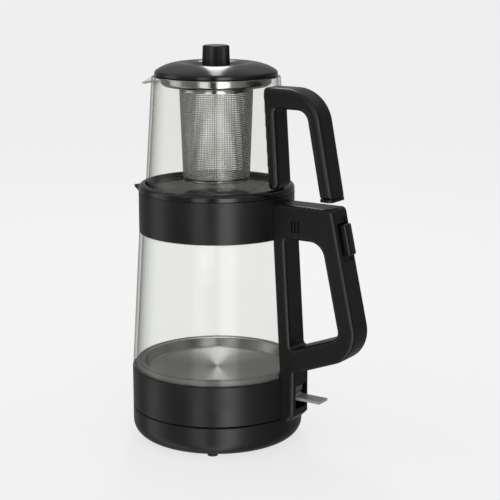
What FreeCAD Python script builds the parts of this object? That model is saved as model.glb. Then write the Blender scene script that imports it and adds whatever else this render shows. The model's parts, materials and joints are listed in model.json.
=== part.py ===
import FreeCAD, Part
import math
import os
from types import SimpleNamespace

import Sketcher

# Automatic tea maker, in millimetres.
# The origin is on the table under the kettle's axis. +Z is up and +X points to the handles.
# The pouring beaks point to -X.

# Driving sizes: spreadsheet name, value and what it is.
SIZES = [
    ("base_radius", 80, "power base, outside"),
    ("base_height", 30.7, "table to the top of the power base"),
    ("base_corner", 15, "round lower edge of the power base"),
    ("base_wall", 2.6, "wall of the power base"),
    ("foot_height", 2, "feet below the power base"),
    ("foot_radius", 4.8, "rubber foot"),
    ("centre_foot_radius", 9, "rubber foot under the middle of the power base"),
    ("foot_inset", 16, "side of the power base to its feet"),
    ("cover_inset", 24, "side of the power base to the edge of its cover"),
    ("cover_screw_inset", 8, "edge of the cover to its screws"),
    ("boss_radius", 4.2, "screw posts"),
    ("screw_radius", 1.6, "screw shank"),
    ("screw_head_radius", 3, "screw head"),
    ("screw_head_height", 1.6, "screw head"),
    ("screw_length", 9, "screw shank beyond the head"),
    ("screw_head_gap", 0.2, "between a screw head and its recess"),
    ("inlet_height", 18.5, "table to the axis of the lead's bush"),
    ("inlet_bore", 3.6, "bore radius of the lead's bush"),
    ("inlet_radius", 6.8, "barrel of the lead's bush"),
    ("inlet_flange", 8.2, "flange of the lead's bush behind the wall"),
    ("inlet_length", 10, "lead's bush"),
    ("inlet_flange_depth", 3, "bush flange behind the straight wall"),
    ("socket_radius", 15, "coupling socket"),
    ("socket_height", 11, "socket above the deck"),
    ("socket_flange", 19, "socket flange under the deck"),
    ("socket_centre_bore", 3.6, "socket hole for the centre pin"),
    ("socket_ring_inner", 8, "ring groove of the socket, inside"),
    ("socket_ring_outer", 11, "ring groove of the socket, outside"),
    ("socket_groove_depth", 8.5, "ring groove and centre hole"),
    ("contact_thickness", 0.8, "contacts in the socket"),
    ("turn_gap", 0.6, "between the power base and the kettle"),
    ("running_gap", 0.3, "between pieces that move past each other"),
    ("seat_gap", 0.1, "between pieces that are fitted together"),
    ("connector_wall", 3, "wall of the kettle's coupling half"),
    ("connector_gap", 0.7, "around the socket inside the connector"),
    ("pin_gap", 0.9, "around the pins in the socket"),
    ("ring_height", 37.7, "kettle's foot ring"),
    ("ring_wall", 2.6, "kettle's foot ring"),
    ("ledge_width", 10, "inner ledge of the foot ring"),
    ("ledge_thickness", 2, "inner ledge of the foot ring"),
    ("ledge_drop", 2.6, "top of the foot ring to its ledge"),
    ("bottom_cover_thickness", 2.4, "kettle's bottom cover"),
    ("plate_inset", 16.5, "side of the foot ring to the flat middle of the plate"),
    ("plate_thickness", 0.8, "heating plate"),
    ("plate_drop", 3.8, "flat middle below the plate's rim"),
    ("plate_flange", 4, "flange of the heating plate"),
    ("seal_lip", 3.2, "part of the seal inside the glass wall"),
    ("spreader_inset", 5.5, "flat middle of the plate to the edge of its heat spreader"),
    ("spreader_thickness", 3, "aluminium heat spreader"),
    ("element_ring", 42, "heating element's bend"),
    ("element_radius", 3.6, "heating element's tube"),
    ("element_angle", 300, "sweep of the heating element, in degrees"),
    ("control_length", 44, "thermostat control"),
    ("control_width", 34, "thermostat control"),
    ("disc_radius", 8, "bimetal disc"),
    ("disc_thickness", 0.5, "bimetal disc"),
    ("glass_inset", 0.4, "glass inside the foot ring's outside"),
    ("glass_thickness", 3, "kettle glass"),
    ("glass_shoulder_radius", 72, "kettle glass just under the collar"),
    ("glass_shoulder_height", 196.8, "table to the shoulder of the kettle glass"),
    ("neck_step", 3, "shoulder of the kettle glass to its neck"),
    ("shoulder_rise", 0.4, "slope of the shoulder at the foot of the neck"),
    ("neck_height", 24, "neck of the kettle glass"),
    ("collar_height", 37.8, "kettle collar"),
    ("collar_wall", 2.4, "kettle collar"),
    ("collar_flange", 10, "inward flange of the collar"),
    ("seal_height", 14, "silicone band round the neck"),
    ("seat_thickness", 2.4, "teapot seat"),
    ("seat_opening", 40, "opening radius in the teapot seat"),
    ("seat_lip", 6, "rim round the opening in the seat"),
    ("trim_width", 6.2, "glossy ring on the collar"),
    ("trim_height", 7, "glossy ring on the collar"),
    ("beak_length", 22.7, "side of the collar to the tip of its beak"),
    ("beak_width", 32, "kettle's beak at the collar"),
    ("beak_depth", 24, "kettle's beak at the collar"),
    ("beak_droop", 4, "tip of the beak below the collar's top"),
    ("beak_tip_depth", 2.4, "beak at its tip"),
    ("beak_tip_width", 2.6, "beak at its tip"),
    ("beak_wall", 1.8, "wall of the beak"),
    ("handle_width", 28, "kettle handle"),
    ("handle_wall", 2.4, "wall of the handle shells"),
    ("handle_edge", 3.6, "rounded long edges of the kettle handle"),
    ("handle_top", 231, "table to the top of the kettle handle"),
    ("handle_top_depth", 50, "side of the foot ring to the grip's outer face at its top"),
    ("handle_knee_depth", 79, "side of the foot ring to the sharp corner of the handle's knee"),
    ("handle_knee_height", 101.2, "table to the sharp corner of the handle's knee"),
    ("handle_knee_rounding", 30, "outside of the handle's knee"),
    ("handle_heel_height", 76.3, "table to the lower arm's root"),
    ("grip_depth", 17.2, "grip, from finger side to outer face"),
    ("arm_depth", 31, "top arm of the kettle handle"),
    ("lower_arm_depth", 23, "lower arm of the kettle handle"),
    ("column_top_depth", 9.8, "shoulder of the glass to the column's outer face"),
    ("column_foot_depth", 8.4, "side of the foot ring to the column's outer face"),
    ("foot_box_depth", 12.5, "side of the foot ring to the outer face of the switch housing"),
    ("foot_box_bottom", 28.8, "table to the bottom of the switch housing"),
    ("foot_box_bevel", 6.4, "bevelled lower edge of the switch housing"),
    ("finger_top_rounding", 15, "finger opening, upper outer corner"),
    ("finger_knee_rounding", 8, "finger opening, lower outer corner"),
    ("finger_column_rounding", 3, "finger opening, corners at the column"),
    ("screw_post_radius", 3.4, "posts for the handle screws"),
    ("screw_post_height", 164, "table to the post in the grip"),
    ("handle_screw_length", 20, "handle screws"),
    ("handle_screw_recess", 0.4, "heads of the handle screws below the shell's side"),
    ("vent_spacing", 3.3, "between the vent slots of the handle"),
    ("vent_width", 1.3, "vent slot"),
    ("vent_height", 10.5, "vent slot"),
    ("vent_offset", 11.4, "column's outer face to the middle vent slot"),
    ("vent_drop", 18.6, "top of the handle to the middle of the slots"),
    ("button_length", 28, "press button, along the grip"),
    ("button_width", 16, "press button"),
    ("button_proud", 5, "button above the grip's face"),
    ("button_drop", 27, "top of the handle to the middle of the button"),
    ("button_travel", 2.5, "press button"),
    ("button_flange", 1.6, "flange that keeps the button in"),
    ("button_recess_length", 39, "shallow recess round the button"),
    ("button_recess_depth", 1.4, "shallow recess round the button"),
    ("spring_radius", 2.4, "button spring, outside"),
    ("spring_wire", 0.6, "button spring"),
    ("lever_pin_depth", 5.8, "lever's pin behind the switch housing's outer face"),
    ("lever_height", 51, "table to the lever's pin"),
    ("lever_pin_radius", 1.2, "lever's pin"),
    ("lever_pin_gap", 0.05, "lever's bore round its pin"),
    ("lever_hub", 3, "lever's hub"),
    ("lever_width", 14, "switch lever"),
    ("lever_thickness", 2.6, "switch lever"),
    ("lever_length", 24, "lever beyond the switch housing's outer face"),
    ("lever_window_top", 63, "table to the top of the lever's window"),
    ("lever_window_bottom", 41, "table to the bottom of the lever's window"),
    ("lever_window_width", 19, "window round the lever"),
    ("lamp_radius", 1, "lamp behind the lever"),
    ("steam_tube_radius", 1.9, "steam tube, outside"),
    ("steam_tube_bore", 1.2, "steam tube"),
    ("pot_lift", 0.3, "teapot glass above its seat"),
    ("pot_radius", 65.6, "teapot glass near its foot"),
    ("pot_rim_radius", 58.7, "teapot glass at its rim"),
    ("pot_height", 104.2, "teapot glass"),
    ("pot_corner", 11, "round foot of the teapot glass"),
    ("pot_wall", 2.5, "teapot glass"),
    ("lip_length", 23.4, "rim of the teapot glass to the tip of its lip"),
    ("lip_width", 30, "teapot's lip at the wall"),
    ("lip_depth", 16, "teapot's lip at the wall"),
    ("lip_droop", 12, "tip of the lip below the rim"),
    ("lip_tip_width", 9, "teapot's lip at its tip"),
    ("lip_wall", 2, "glass of the lip"),
    ("pot_handle_width", 26, "teapot handle"),
    ("pot_handle_edge", 4.6, "rounded long edges of the teapot handle"),
    ("pot_handle_top", 334, "table to the top of the teapot handle"),
    ("pot_handle_bottom", 237, "table to the end of the teapot's grip"),
    ("pot_handle_top_depth", 52.3, "rim of the teapot glass to the sharp outer corner of its handle"),
    ("pot_handle_end_depth", 64.4, "side of the teapot glass to the outer face at the end of the grip"),
    ("pot_handle_bend", 34, "outside bend of the teapot handle"),
    ("pot_finger_bend", 11, "inside bend of the teapot handle"),
    ("pot_grip_depth", 13, "teapot grip, from finger side to outer face"),
    ("pot_arm_depth", 18.7, "top arm of the teapot handle"),
    ("pot_column_thickness", 8.5, "teapot handle's column on the glass"),
    ("pot_column_bottom", 242.5, "table to the lower end of the column"),
    ("pad_thickness", 0.8, "bond pads between the handle and the glass"),
    ("pad_height", 14, "bond pads"),
    ("pad_angle", 16, "bond pads round the glass, in degrees"),
    ("cap_thickness", 2.4, "plug in the end of the teapot's grip"),
    ("infuser_inset", 8.2, "rim of the teapot glass to the infuser's band"),
    ("flange_inset", 1.2, "rim of the teapot glass to the edge of the infuser's flange"),
    ("infuser_sheet", 0.6, "steel of the infuser"),
    ("infuser_band_height", 9, "infuser's band"),
    ("basket_radius", 34, "basket at its top"),
    ("basket_foot_radius", 30.8, "basket at its floor"),
    ("basket_floor", 245, "table to the basket's floor"),
    ("lid_inset", 2.5, "rim of the teapot glass to the edge of the lid"),
    ("lid_thickness", 2, "lid"),
    ("lid_edge_height", 3.6, "lid's edge above the infuser"),
    ("lid_crest_radius", 31, "axis to the lid's crest"),
    ("lid_crest_height", 14.6, "lid's crest above the infuser"),
    ("lid_dip_radius", 13, "dip in the lid round the knob"),
    ("lid_dip_height", 10.2, "lid's dip above the infuser"),
    ("lid_gap", 0.4, "between the infuser and the lid"),
    ("liner_clearance", 0.9, "between the lid's liner and the infuser"),
    ("liner_height", 6, "lid's liner inside the infuser"),
    ("liner_wall", 1.4, "lid's liner"),
    ("lid_seal_height", 2, "lid's seal"),
    ("knob_radius", 12, "lid knob"),
    ("knob_height", 16.8, "lid knob"),
    ("knob_rounding", 2, "upper edge of the knob"),
    ("knob_wall", 2, "lid knob"),
]


class Size:
    """A number together with the spreadsheet formula that gives it."""

    def __init__(self, value, formula):
        self.value = value
        self.formula = formula

    def __add__(self, other):
        other = as_size(other)
        return Size(self.value + other.value, "(%s + %s)" % (self.formula, other.formula))

    def __sub__(self, other):
        other = as_size(other)
        return Size(self.value - other.value, "(%s - %s)" % (self.formula, other.formula))

    def __mul__(self, other):
        other = as_size(other)
        return Size(self.value * other.value, "(%s * %s)" % (self.formula, other.formula))

    def __truediv__(self, other):
        other = as_size(other)
        return Size(self.value / other.value, "(%s / %s)" % (self.formula, other.formula))

    def __neg__(self):
        return Size(-self.value, "(0 - %s)" % self.formula)

    def __rsub__(self, other):
        return as_size(other) - self

    __radd__ = __add__
    __rmul__ = __mul__


def as_size(number):
    if isinstance(number, Size):
        return number
    return Size(float(number), repr(float(number)))


def square_root(size):
    return Size(math.sqrt(size.value), "sqrt(%s)" % size.formula)


def smaller(first, second):
    value = min(first.value, second.value)
    return Size(value, "min(%s; %s)" % (first.formula, second.formula))


# The document and its spreadsheet.
document = FreeCAD.newDocument("TeaMaker")
sheet = document.addObject("Spreadsheet::Sheet", "Sizes")
s = SimpleNamespace()
for row, (name, value, meaning) in enumerate(SIZES, start=1):
    sheet.set("A%d" % row, meaning)
    sheet.set("B%d" % row, str(value))
    sheet.setAlias("B%d" % row, name)
    setattr(s, name, Size(float(value), "Sizes." + name))
document.recompute()

pieces = []


def bind(thing, property_name, size):
    """Give a property its value, tied to the spreadsheet where the value comes from there."""
    setattr(thing, property_name.split(".")[0], as_size(size).value)
    if isinstance(size, Size):
        thing.setExpression(property_name, size.formula)


def new_piece(name):
    piece = document.addObject("PartDesign::Body", name)
    piece.Label = name
    pieces.append(piece)
    return piece


def origin_feature(piece, role):
    return next(part for part in piece.Origin.OriginFeatures if part.Role == role)


def place_point(drawing, geometry, position, across, up):
    """Hold one point of a drawing at its place, measured from the origin."""
    for kind, axis, size in (("DistanceX", -2, across), ("DistanceY", -1, up)):
        if isinstance(size, Size) or size != 0:
            value = as_size(size).value
            rule = Sketcher.Constraint(kind, -1, 1, geometry, position, value)
            index = drawing.addConstraint(rule)
            if isinstance(size, Size):
                drawing.setExpression("Constraints[%d]" % index, size.formula)
        else:
            drawing.addConstraint(Sketcher.Constraint("PointOnObject", geometry, position, axis))


def set_radius(drawing, geometry, radius):
    index = drawing.addConstraint(Sketcher.Constraint("Radius", geometry, as_size(radius).value))
    if isinstance(radius, Size):
        drawing.setExpression("Constraints[%d]" % index, radius.formula)


def draw_circle(drawing, across, up, radius):
    centre = FreeCAD.Vector(as_size(across).value, as_size(up).value, 0)
    circle = Part.Circle(centre, FreeCAD.Vector(0, 0, 1), as_size(radius).value)
    geometry = drawing.addGeometry(circle, False)
    if as_size(across).value == 0 and as_size(up).value == 0:
        drawing.addConstraint(Sketcher.Constraint("Coincident", geometry, 3, -1, 1))
    else:
        place_point(drawing, geometry, 3, across, up)
    set_radius(drawing, geometry, radius)


def rounded_corner(here, before, after, rounding):
    """Where a corner's rounding starts and ends, and its centre."""
    towards_before = (before - here).normalize()
    towards_after = (after - here).normalize()
    half_angle = towards_before.getAngle(towards_after) / 2
    run = rounding / math.tan(half_angle)
    inward = (towards_before + towards_after).normalize()
    centre = here + inward * (rounding / math.sin(half_angle))
    return here + towards_before * run, here + towards_after * run, centre


def arc_between(start, end, centre, radius):
    """The arc that runs anticlockwise from start to end."""
    first = math.atan2(start.y - centre.y, start.x - centre.x)
    last = math.atan2(end.y - centre.y, end.x - centre.x)
    if last < first:
        last += 2 * math.pi
    circle = Part.Circle(centre, FreeCAD.Vector(0, 0, 1), radius)
    return Part.ArcOfCircle(circle, first, last)


def draw_outline(drawing, corners):
    """Draw a closed outline through corners, each (across, up) or (across, up, rounding)."""
    count = len(corners)
    places = [FreeCAD.Vector(as_size(corner[0]).value, as_size(corner[1]).value, 0)
              for corner in corners]
    arrivals = list(places)
    departures = list(places)
    centres = list(places)
    for index, corner in enumerate(corners):
        if len(corner) == 3:
            before = places[index - 1]
            after = places[(index + 1) % count]
            rounding = as_size(corner[2]).value
            ends = rounded_corner(places[index], before, after, rounding)
            arrivals[index], departures[index], centres[index] = ends
    sides = []
    for index in range(count):
        side = Part.LineSegment(departures[index], arrivals[(index + 1) % count])
        sides.append(drawing.addGeometry(side, False))
    for index, corner in enumerate(corners):
        side_in = sides[index - 1]
        side_out = sides[index]
        if len(corner) == 2:
            drawing.addConstraint(Sketcher.Constraint("Coincident", side_in, 2, side_out, 1))
            place_point(drawing, side_out, 1, corner[0], corner[1])
            continue
        point = drawing.addGeometry(Part.Point(places[index]), True)
        place_point(drawing, point, 1, corner[0], corner[1])
        drawing.addConstraint(Sketcher.Constraint("PointOnObject", point, 1, side_in))
        drawing.addConstraint(Sketcher.Constraint("PointOnObject", point, 1, side_out))
        arrival = arrivals[index]
        departure = departures[index]
        radius = as_size(corner[2]).value
        turns_left = (arrival - places[index]).cross(departure - places[index]).z < 0
        if turns_left:
            arc = arc_between(arrival, departure, centres[index], radius)
            arrival_end, departure_end = 1, 2
        else:
            arc = arc_between(departure, arrival, centres[index], radius)
            arrival_end, departure_end = 2, 1
        geometry = drawing.addGeometry(arc, False)
        drawing.addConstraint(
            Sketcher.Constraint("Tangent", side_in, 2, geometry, arrival_end))
        drawing.addConstraint(
            Sketcher.Constraint("Tangent", side_out, 1, geometry, departure_end))
        set_radius(drawing, geometry, corner[2])


def new_drawing(piece, outlines=(), circles=(), plane="XZ_Plane", offset=None):
    """A sketch on one of the piece's own planes, moved along the plane's normal by offset."""
    drawing = piece.newObject("Sketcher::SketchObject", piece.Name + "_drawing")
    drawing.AttachmentSupport = [(origin_feature(piece, plane), "")]
    drawing.MapMode = "FlatFace"
    if offset is not None:
        offset = as_size(offset)
        drawing.AttachmentOffset = FreeCAD.Placement(
            FreeCAD.Vector(0, 0, offset.value), FreeCAD.Rotation())
        drawing.setExpression("AttachmentOffset.Base.z", offset.formula)
    for corners in outlines:
        draw_outline(drawing, corners)
    for across, up, radius in circles:
        draw_circle(drawing, across, up, radius)
    document.recompute()
    return drawing


def add_turned(piece, *outlines, angle=360, middle=False):
    """Turn closed outlines of (radius, height) about the Z axis."""
    feature = piece.newObject("PartDesign::Revolution", piece.Name + "_turned")
    drawing = new_drawing(piece, outlines)
    feature.Profile = drawing
    feature.ReferenceAxis = (origin_feature(piece, "Z_Axis"), [""])
    bind(feature, "Angle", angle)
    feature.Midplane = middle
    document.recompute()
    return feature


def cut_turned(piece, *outlines):
    feature = piece.newObject("PartDesign::Groove", piece.Name + "_groove")
    drawing = new_drawing(piece, outlines)
    feature.Profile = drawing
    feature.ReferenceAxis = (origin_feature(piece, "Z_Axis"), [""])
    feature.Angle = 360
    document.recompute()
    return feature


def add_pad(piece, drawing, length, both_ways=False, backwards=False):
    feature = piece.newObject("PartDesign::Pad", piece.Name + "_pad")
    feature.Profile = drawing
    bind(feature, "Length", length)
    feature.SideType = "Symmetric" if both_ways else "One side"
    feature.Reversed = backwards
    document.recompute()
    return feature


def cut_pocket(piece, drawing, length, both_ways=False, backwards=False):
    """Cut from the drawing against its plane's normal, or along it when backwards is set."""
    volume = piece.Shape.Volume
    feature = piece.newObject("PartDesign::Pocket", piece.Name + "_pocket")
    feature.Profile = drawing
    bind(feature, "Length", length)
    feature.SideType = "Symmetric" if both_ways else "One side"
    feature.Reversed = backwards
    document.recompute()
    if not piece.Shape.Volume < volume:
        raise RuntimeError("a pocket cuts nothing from " + piece.Label)
    return feature


def join_sections(piece, kind, first, second):
    feature = piece.newObject(kind, piece.Name + "_loft")
    feature.Profile = first
    feature.Sections = [second]
    feature.Ruled = True
    document.recompute()
    return feature


def repeat_round(piece, feature, count):
    """Repeat a feature evenly round the Z axis."""
    pattern = piece.newObject("PartDesign::PolarPattern", piece.Name + "_pattern")
    pattern.Originals = [feature]
    pattern.Axis = (origin_feature(piece, "Z_Axis"), [""])
    pattern.Angle = 360
    pattern.Occurrences = count
    piece.Tip = pattern
    document.recompute()
    return pattern


def round_edges(piece, chosen, radius):
    """Round the edges of the piece that the test picks."""
    shape = piece.Shape
    names = ["Edge%d" % (index + 1) for index, edge in enumerate(shape.Edges) if chosen(edge)]
    before = piece.Tip
    feature = piece.newObject("PartDesign::Fillet", piece.Name + "_fillet")
    feature.Base = (before, names)
    bind(feature, "Radius", radius)
    document.recompute()
    return feature


def lies_at_y(edge, place):
    """Whether the whole edge lies in the plane y = place."""
    box = edge.BoundBox
    return abs(box.YMin - place) < 1e-4 and abs(box.YMax - place) < 1e-4


# Heights and radii that several pieces share.
foot_circle = s.base_radius - s.foot_inset
cover_radius = s.base_radius - s.cover_inset
cover_screw_circle = cover_radius - s.cover_screw_inset
plate_radius = s.base_radius - s.plate_inset
spreader_radius = plate_radius - s.spreader_inset
beak_reach = s.glass_shoulder_radius + s.beak_length
handle_top_reach = s.base_radius + s.handle_top_depth
handle_knee_reach = s.base_radius + s.handle_knee_depth
column_top_reach = s.glass_shoulder_radius + s.column_top_depth
column_foot_reach = s.base_radius + s.column_foot_depth
foot_box_reach = s.base_radius + s.foot_box_depth
vent_reach = column_top_reach + s.vent_offset
lever_pin_reach = foot_box_reach - s.lever_pin_depth
lever_reach = foot_box_reach + s.lever_length
lip_reach = s.pot_rim_radius + s.lip_length
pot_handle_top_reach = s.pot_rim_radius + s.pot_handle_top_depth
pot_handle_end_reach = s.pot_radius + s.pot_handle_end_depth
infuser_radius = s.pot_rim_radius - s.infuser_inset
infuser_flange = s.pot_rim_radius - s.flange_inset
lid_radius = s.pot_rim_radius - s.lid_inset
deck_under = s.base_height - s.base_wall
socket_top = s.base_height + s.socket_height
kettle_bottom = s.base_height + s.turn_gap
ring_top = kettle_bottom + s.ring_height
ring_inner = s.base_radius - s.ring_wall
ledge_top = ring_top - s.ledge_drop
ledge_bottom = ledge_top - s.ledge_thickness
bottom_cover_top = kettle_bottom + s.turn_gap + s.bottom_cover_thickness
kettle_post_circle = ring_inner - s.boss_radius + 1
connector_radius = s.socket_radius + s.connector_gap + s.connector_wall
connector_roof = socket_top + s.connector_gap
connector_top = connector_roof + s.connector_wall
plate_rim_top = ring_top + 0.2
plate_top = plate_rim_top - s.plate_drop
plate_under = plate_top - s.plate_thickness
rim_bend = plate_radius + 2
rim_under = plate_rim_top - s.plate_thickness
spreader_under = plate_under - s.spreader_thickness
glass_radius = s.base_radius - s.glass_inset
collar_bottom = s.glass_shoulder_height + 0.7
collar_top = collar_bottom + s.collar_height
collar_inner = s.glass_shoulder_radius - s.collar_wall
neck_radius = s.glass_shoulder_radius - s.neck_step
neck_top = s.glass_shoulder_height + s.shoulder_rise + s.neck_height
seat_under = collar_top - s.seat_thickness
flange_under = seat_under - s.collar_wall
pot_bottom = collar_top + s.pot_lift
pot_rim = pot_bottom + s.pot_height
infuser_top = pot_rim + s.infuser_sheet
lid_bottom = infuser_top + s.lid_gap
half_handle = s.handle_width / 2

# The grip's outer face leans: it moves outwards as it goes down.
handle_lean = (handle_knee_reach - handle_top_reach) / (s.handle_top - s.handle_knee_height)
lean_length = square_root(handle_lean * handle_lean + 1)


def grip_face(height):
    """Distance from the axis to the sloping outer face of the kettle's grip."""
    return handle_top_reach + (s.handle_top - height) * handle_lean


def on_grip(along, outward):
    """A place on the grip: along it from the button's middle, and out from its face."""
    height = s.handle_top - s.button_drop
    across = grip_face(height) + (along * handle_lean + outward) / lean_length
    up = height + (outward * handle_lean - along) / lean_length
    return across, up


# Power base

def make_base_shell():
    piece = new_piece("base_shell")
    rim = cover_radius + s.seat_gap
    inside = s.base_radius - s.base_wall
    floor_top = s.foot_height + s.base_wall
    hole = s.socket_radius + s.seat_gap
    add_turned(piece, [
        (rim, s.foot_height),
        (s.base_radius, s.foot_height, s.base_corner),
        (s.base_radius, s.base_height, 1),
        (hole, s.base_height),
        (hole, deck_under),
        (inside, deck_under),
        (inside, floor_top, s.base_corner - s.base_wall),
        (rim, floor_top),
    ])
    post = new_drawing(piece, circles=[(cover_screw_circle, 0, s.boss_radius)],
                       plane="XY_Plane", offset=floor_top)
    repeat_round(piece, add_pad(piece, post, deck_under - floor_top), 3)
    hole = new_drawing(piece, circles=[(cover_screw_circle, 0, s.screw_radius)],
                       plane="XY_Plane", offset=floor_top)
    drilled = cut_pocket(piece, hole, s.screw_length, backwards=True)
    repeat_round(piece, drilled, 3)
    inlet = new_drawing(piece, circles=[(0, s.inlet_height, s.inlet_radius + s.seat_gap)],
                        offset=-(s.base_radius + 1))
    cut_pocket(piece, inlet, s.base_wall + s.inlet_length, backwards=True)


def make_base_bottom_cover():
    piece = new_piece("base_bottom_cover")
    top = s.foot_height + s.base_wall
    add_turned(piece, [
        (0, s.foot_height), (cover_radius, s.foot_height), (cover_radius, top), (0, top),
    ])
    shank = new_drawing(piece, circles=[(cover_screw_circle, 0, s.screw_radius)],
                        plane="XY_Plane", offset=top)
    repeat_round(piece, cut_pocket(piece, shank, s.base_wall), 3)
    head_radius = s.screw_head_radius + s.screw_head_gap
    head = new_drawing(piece, circles=[(cover_screw_circle, 0, head_radius)],
                       plane="XY_Plane", offset=s.foot_height + s.screw_head_height)
    repeat_round(piece, cut_pocket(piece, head, s.screw_head_height), 3)


def make_upright_screws(name, circle, head_bottom):
    """Three screws round the axis, heads down."""
    piece = new_piece(name)
    head = new_drawing(piece, circles=[(circle, 0, s.screw_head_radius)],
                       plane="XY_Plane", offset=head_bottom)
    repeat_round(piece, add_pad(piece, head, s.screw_head_height), 3)
    shank = new_drawing(piece, circles=[(circle, 0, s.screw_radius)],
                        plane="XY_Plane", offset=head_bottom)
    repeat_round(piece, add_pad(piece, shank, s.screw_head_height + s.screw_length), 3)


def make_base_feet():
    piece = new_piece("base_feet")
    foot = new_drawing(piece, circles=[(-foot_circle, 0, s.foot_radius)], plane="XY_Plane")
    repeat_round(piece, add_pad(piece, foot, s.foot_height), 3)
    middle = new_drawing(piece, circles=[(0, 0, s.centre_foot_radius)], plane="XY_Plane")
    add_pad(piece, middle, s.foot_height)


def make_base_socket():
    piece = new_piece("base_socket")
    flange_bottom = deck_under - s.base_wall
    groove_bottom = socket_top - s.socket_groove_depth
    add_turned(piece, [
        (0, flange_bottom),
        (s.socket_flange, flange_bottom),
        (s.socket_flange, deck_under),
        (s.socket_radius, deck_under),
        (s.socket_radius, socket_top, 1),
        (s.socket_ring_outer, socket_top),
        (s.socket_ring_outer, groove_bottom),
        (s.socket_ring_inner, groove_bottom),
        (s.socket_ring_inner, socket_top),
        (s.socket_centre_bore, socket_top),
        (s.socket_centre_bore, groove_bottom),
        (0, groove_bottom),
    ])


def make_socket_contacts():
    piece = new_piece("socket_contacts")
    bottom = socket_top - s.socket_groove_depth
    top = bottom + s.contact_thickness
    centre = s.socket_centre_bore - s.seat_gap
    ring_inner_edge = s.socket_ring_inner + s.seat_gap
    ring_outer_edge = s.socket_ring_outer - s.seat_gap
    add_turned(piece, [(0, bottom), (centre, bottom), (centre, top), (0, top)])
    add_turned(piece, [
        (ring_inner_edge, bottom), (ring_outer_edge, bottom),
        (ring_outer_edge, top), (ring_inner_edge, top),
    ])


def make_cord_inlet():
    piece = new_piece("cord_inlet")
    end = s.base_radius - 0.6
    barrel = new_drawing(piece, circles=[(0, s.inlet_height, s.inlet_radius)], offset=-end)
    add_pad(piece, barrel, s.inlet_length)
    inside = s.base_radius - s.base_wall - s.inlet_flange_depth
    flange = new_drawing(piece, circles=[(0, s.inlet_height, s.inlet_flange)], offset=-inside)
    add_pad(piece, flange, s.inlet_length - (end - inside))
    bore = new_drawing(piece, circles=[(0, s.inlet_height, s.inlet_bore)], offset=-end)
    cut_pocket(piece, bore, s.inlet_length, backwards=True)


# Kettle coupling

def make_kettle_connector():
    """Cup that drops over the socket."""
    piece = new_piece("kettle_connector")
    inside = s.socket_radius + s.connector_gap
    bottom = kettle_bottom + s.turn_gap
    add_turned(piece, [
        (inside, bottom),
        (connector_radius, bottom),
        (connector_radius, connector_top, 1),
        (0, connector_top),
        (0, connector_roof),
        (inside, connector_roof),
    ])


def make_connector_pins():
    """Centre pin and ring pin, hanging from the connector's roof."""
    piece = new_piece("connector_pins")
    centre = s.socket_centre_bore - s.pin_gap
    inner = s.socket_ring_inner + s.pin_gap
    outer = s.socket_ring_outer - s.pin_gap
    bottom = socket_top - s.socket_groove_depth + s.contact_thickness + s.running_gap
    add_turned(piece, [
        (0, bottom), (centre, bottom), (centre, connector_roof), (0, connector_roof),
    ])
    add_turned(piece, [
        (inner, bottom), (outer, bottom), (outer, connector_roof), (inner, connector_roof),
    ])


# Kettle foot and heater

def make_kettle_base_ring():
    piece = new_piece("kettle_base_ring")
    ledge_inner = ring_inner - s.ledge_width
    add_turned(piece, [
        (ring_inner, kettle_bottom),
        (s.base_radius, kettle_bottom, 0.8),
        (s.base_radius, ring_top, 0.6),
        (ring_inner, ring_top),
        (ring_inner, ledge_top),
        (ledge_inner, ledge_top),
        (ledge_inner, ledge_bottom),
        (ring_inner, ledge_bottom),
    ])
    post = new_drawing(piece, circles=[(-kettle_post_circle, 0, s.boss_radius)],
                       plane="XY_Plane", offset=bottom_cover_top)
    repeat_round(piece, add_pad(piece, post, ledge_bottom - bottom_cover_top), 3)
    hole = new_drawing(piece, circles=[(-kettle_post_circle, 0, s.screw_radius)],
                       plane="XY_Plane", offset=bottom_cover_top)
    repeat_round(piece, cut_pocket(piece, hole, s.screw_length, backwards=True), 3)


def make_kettle_bottom_cover():
    piece = new_piece("kettle_bottom_cover")
    hole = connector_radius + s.running_gap
    rim = ring_inner - s.seat_gap
    bottom = bottom_cover_top - s.bottom_cover_thickness
    add_turned(piece, [
        (hole, bottom), (rim, bottom), (rim, bottom_cover_top), (hole, bottom_cover_top),
    ])
    shank = new_drawing(piece, circles=[(-kettle_post_circle, 0, s.screw_radius)],
                        plane="XY_Plane", offset=bottom_cover_top)
    repeat_round(piece, cut_pocket(piece, shank, s.bottom_cover_thickness), 3)
    head_radius = s.screw_head_radius + s.screw_head_gap
    head = new_drawing(piece, circles=[(-kettle_post_circle, 0, head_radius)],
                       plane="XY_Plane", offset=bottom + s.screw_head_height)
    repeat_round(piece, cut_pocket(piece, head, s.screw_head_height), 3)


def make_heating_plate():
    piece = new_piece("heating_plate")
    edge = rim_bend + s.plate_flange
    add_turned(piece, [
        (0, plate_top),
        (plate_radius, plate_top, 1.4),
        (rim_bend, plate_rim_top, 1),
        (edge, plate_rim_top),
        (edge, rim_under),
        (rim_bend + 0.5, rim_under),
        (plate_radius + 0.5, plate_under),
        (0, plate_under),
    ])


def make_plate_seal():
    piece = new_piece("plate_seal")
    outside = ring_inner - s.seat_gap
    inside = rim_bend + 1.2
    glass_inner = glass_radius - s.glass_thickness
    add_turned(piece, [
        (inside, ledge_top),
        (outside, ledge_top),
        (outside, ring_top),
        (glass_inner - s.seal_lip, ring_top),
        (glass_inner - s.seal_lip - 1, rim_under),
        (inside, rim_under),
    ])


def make_heat_spreader():
    piece = new_piece("heat_spreader")
    add_turned(piece, [
        (0, spreader_under), (spreader_radius, spreader_under),
        (spreader_radius, plate_under), (0, plate_under),
    ])


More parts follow.
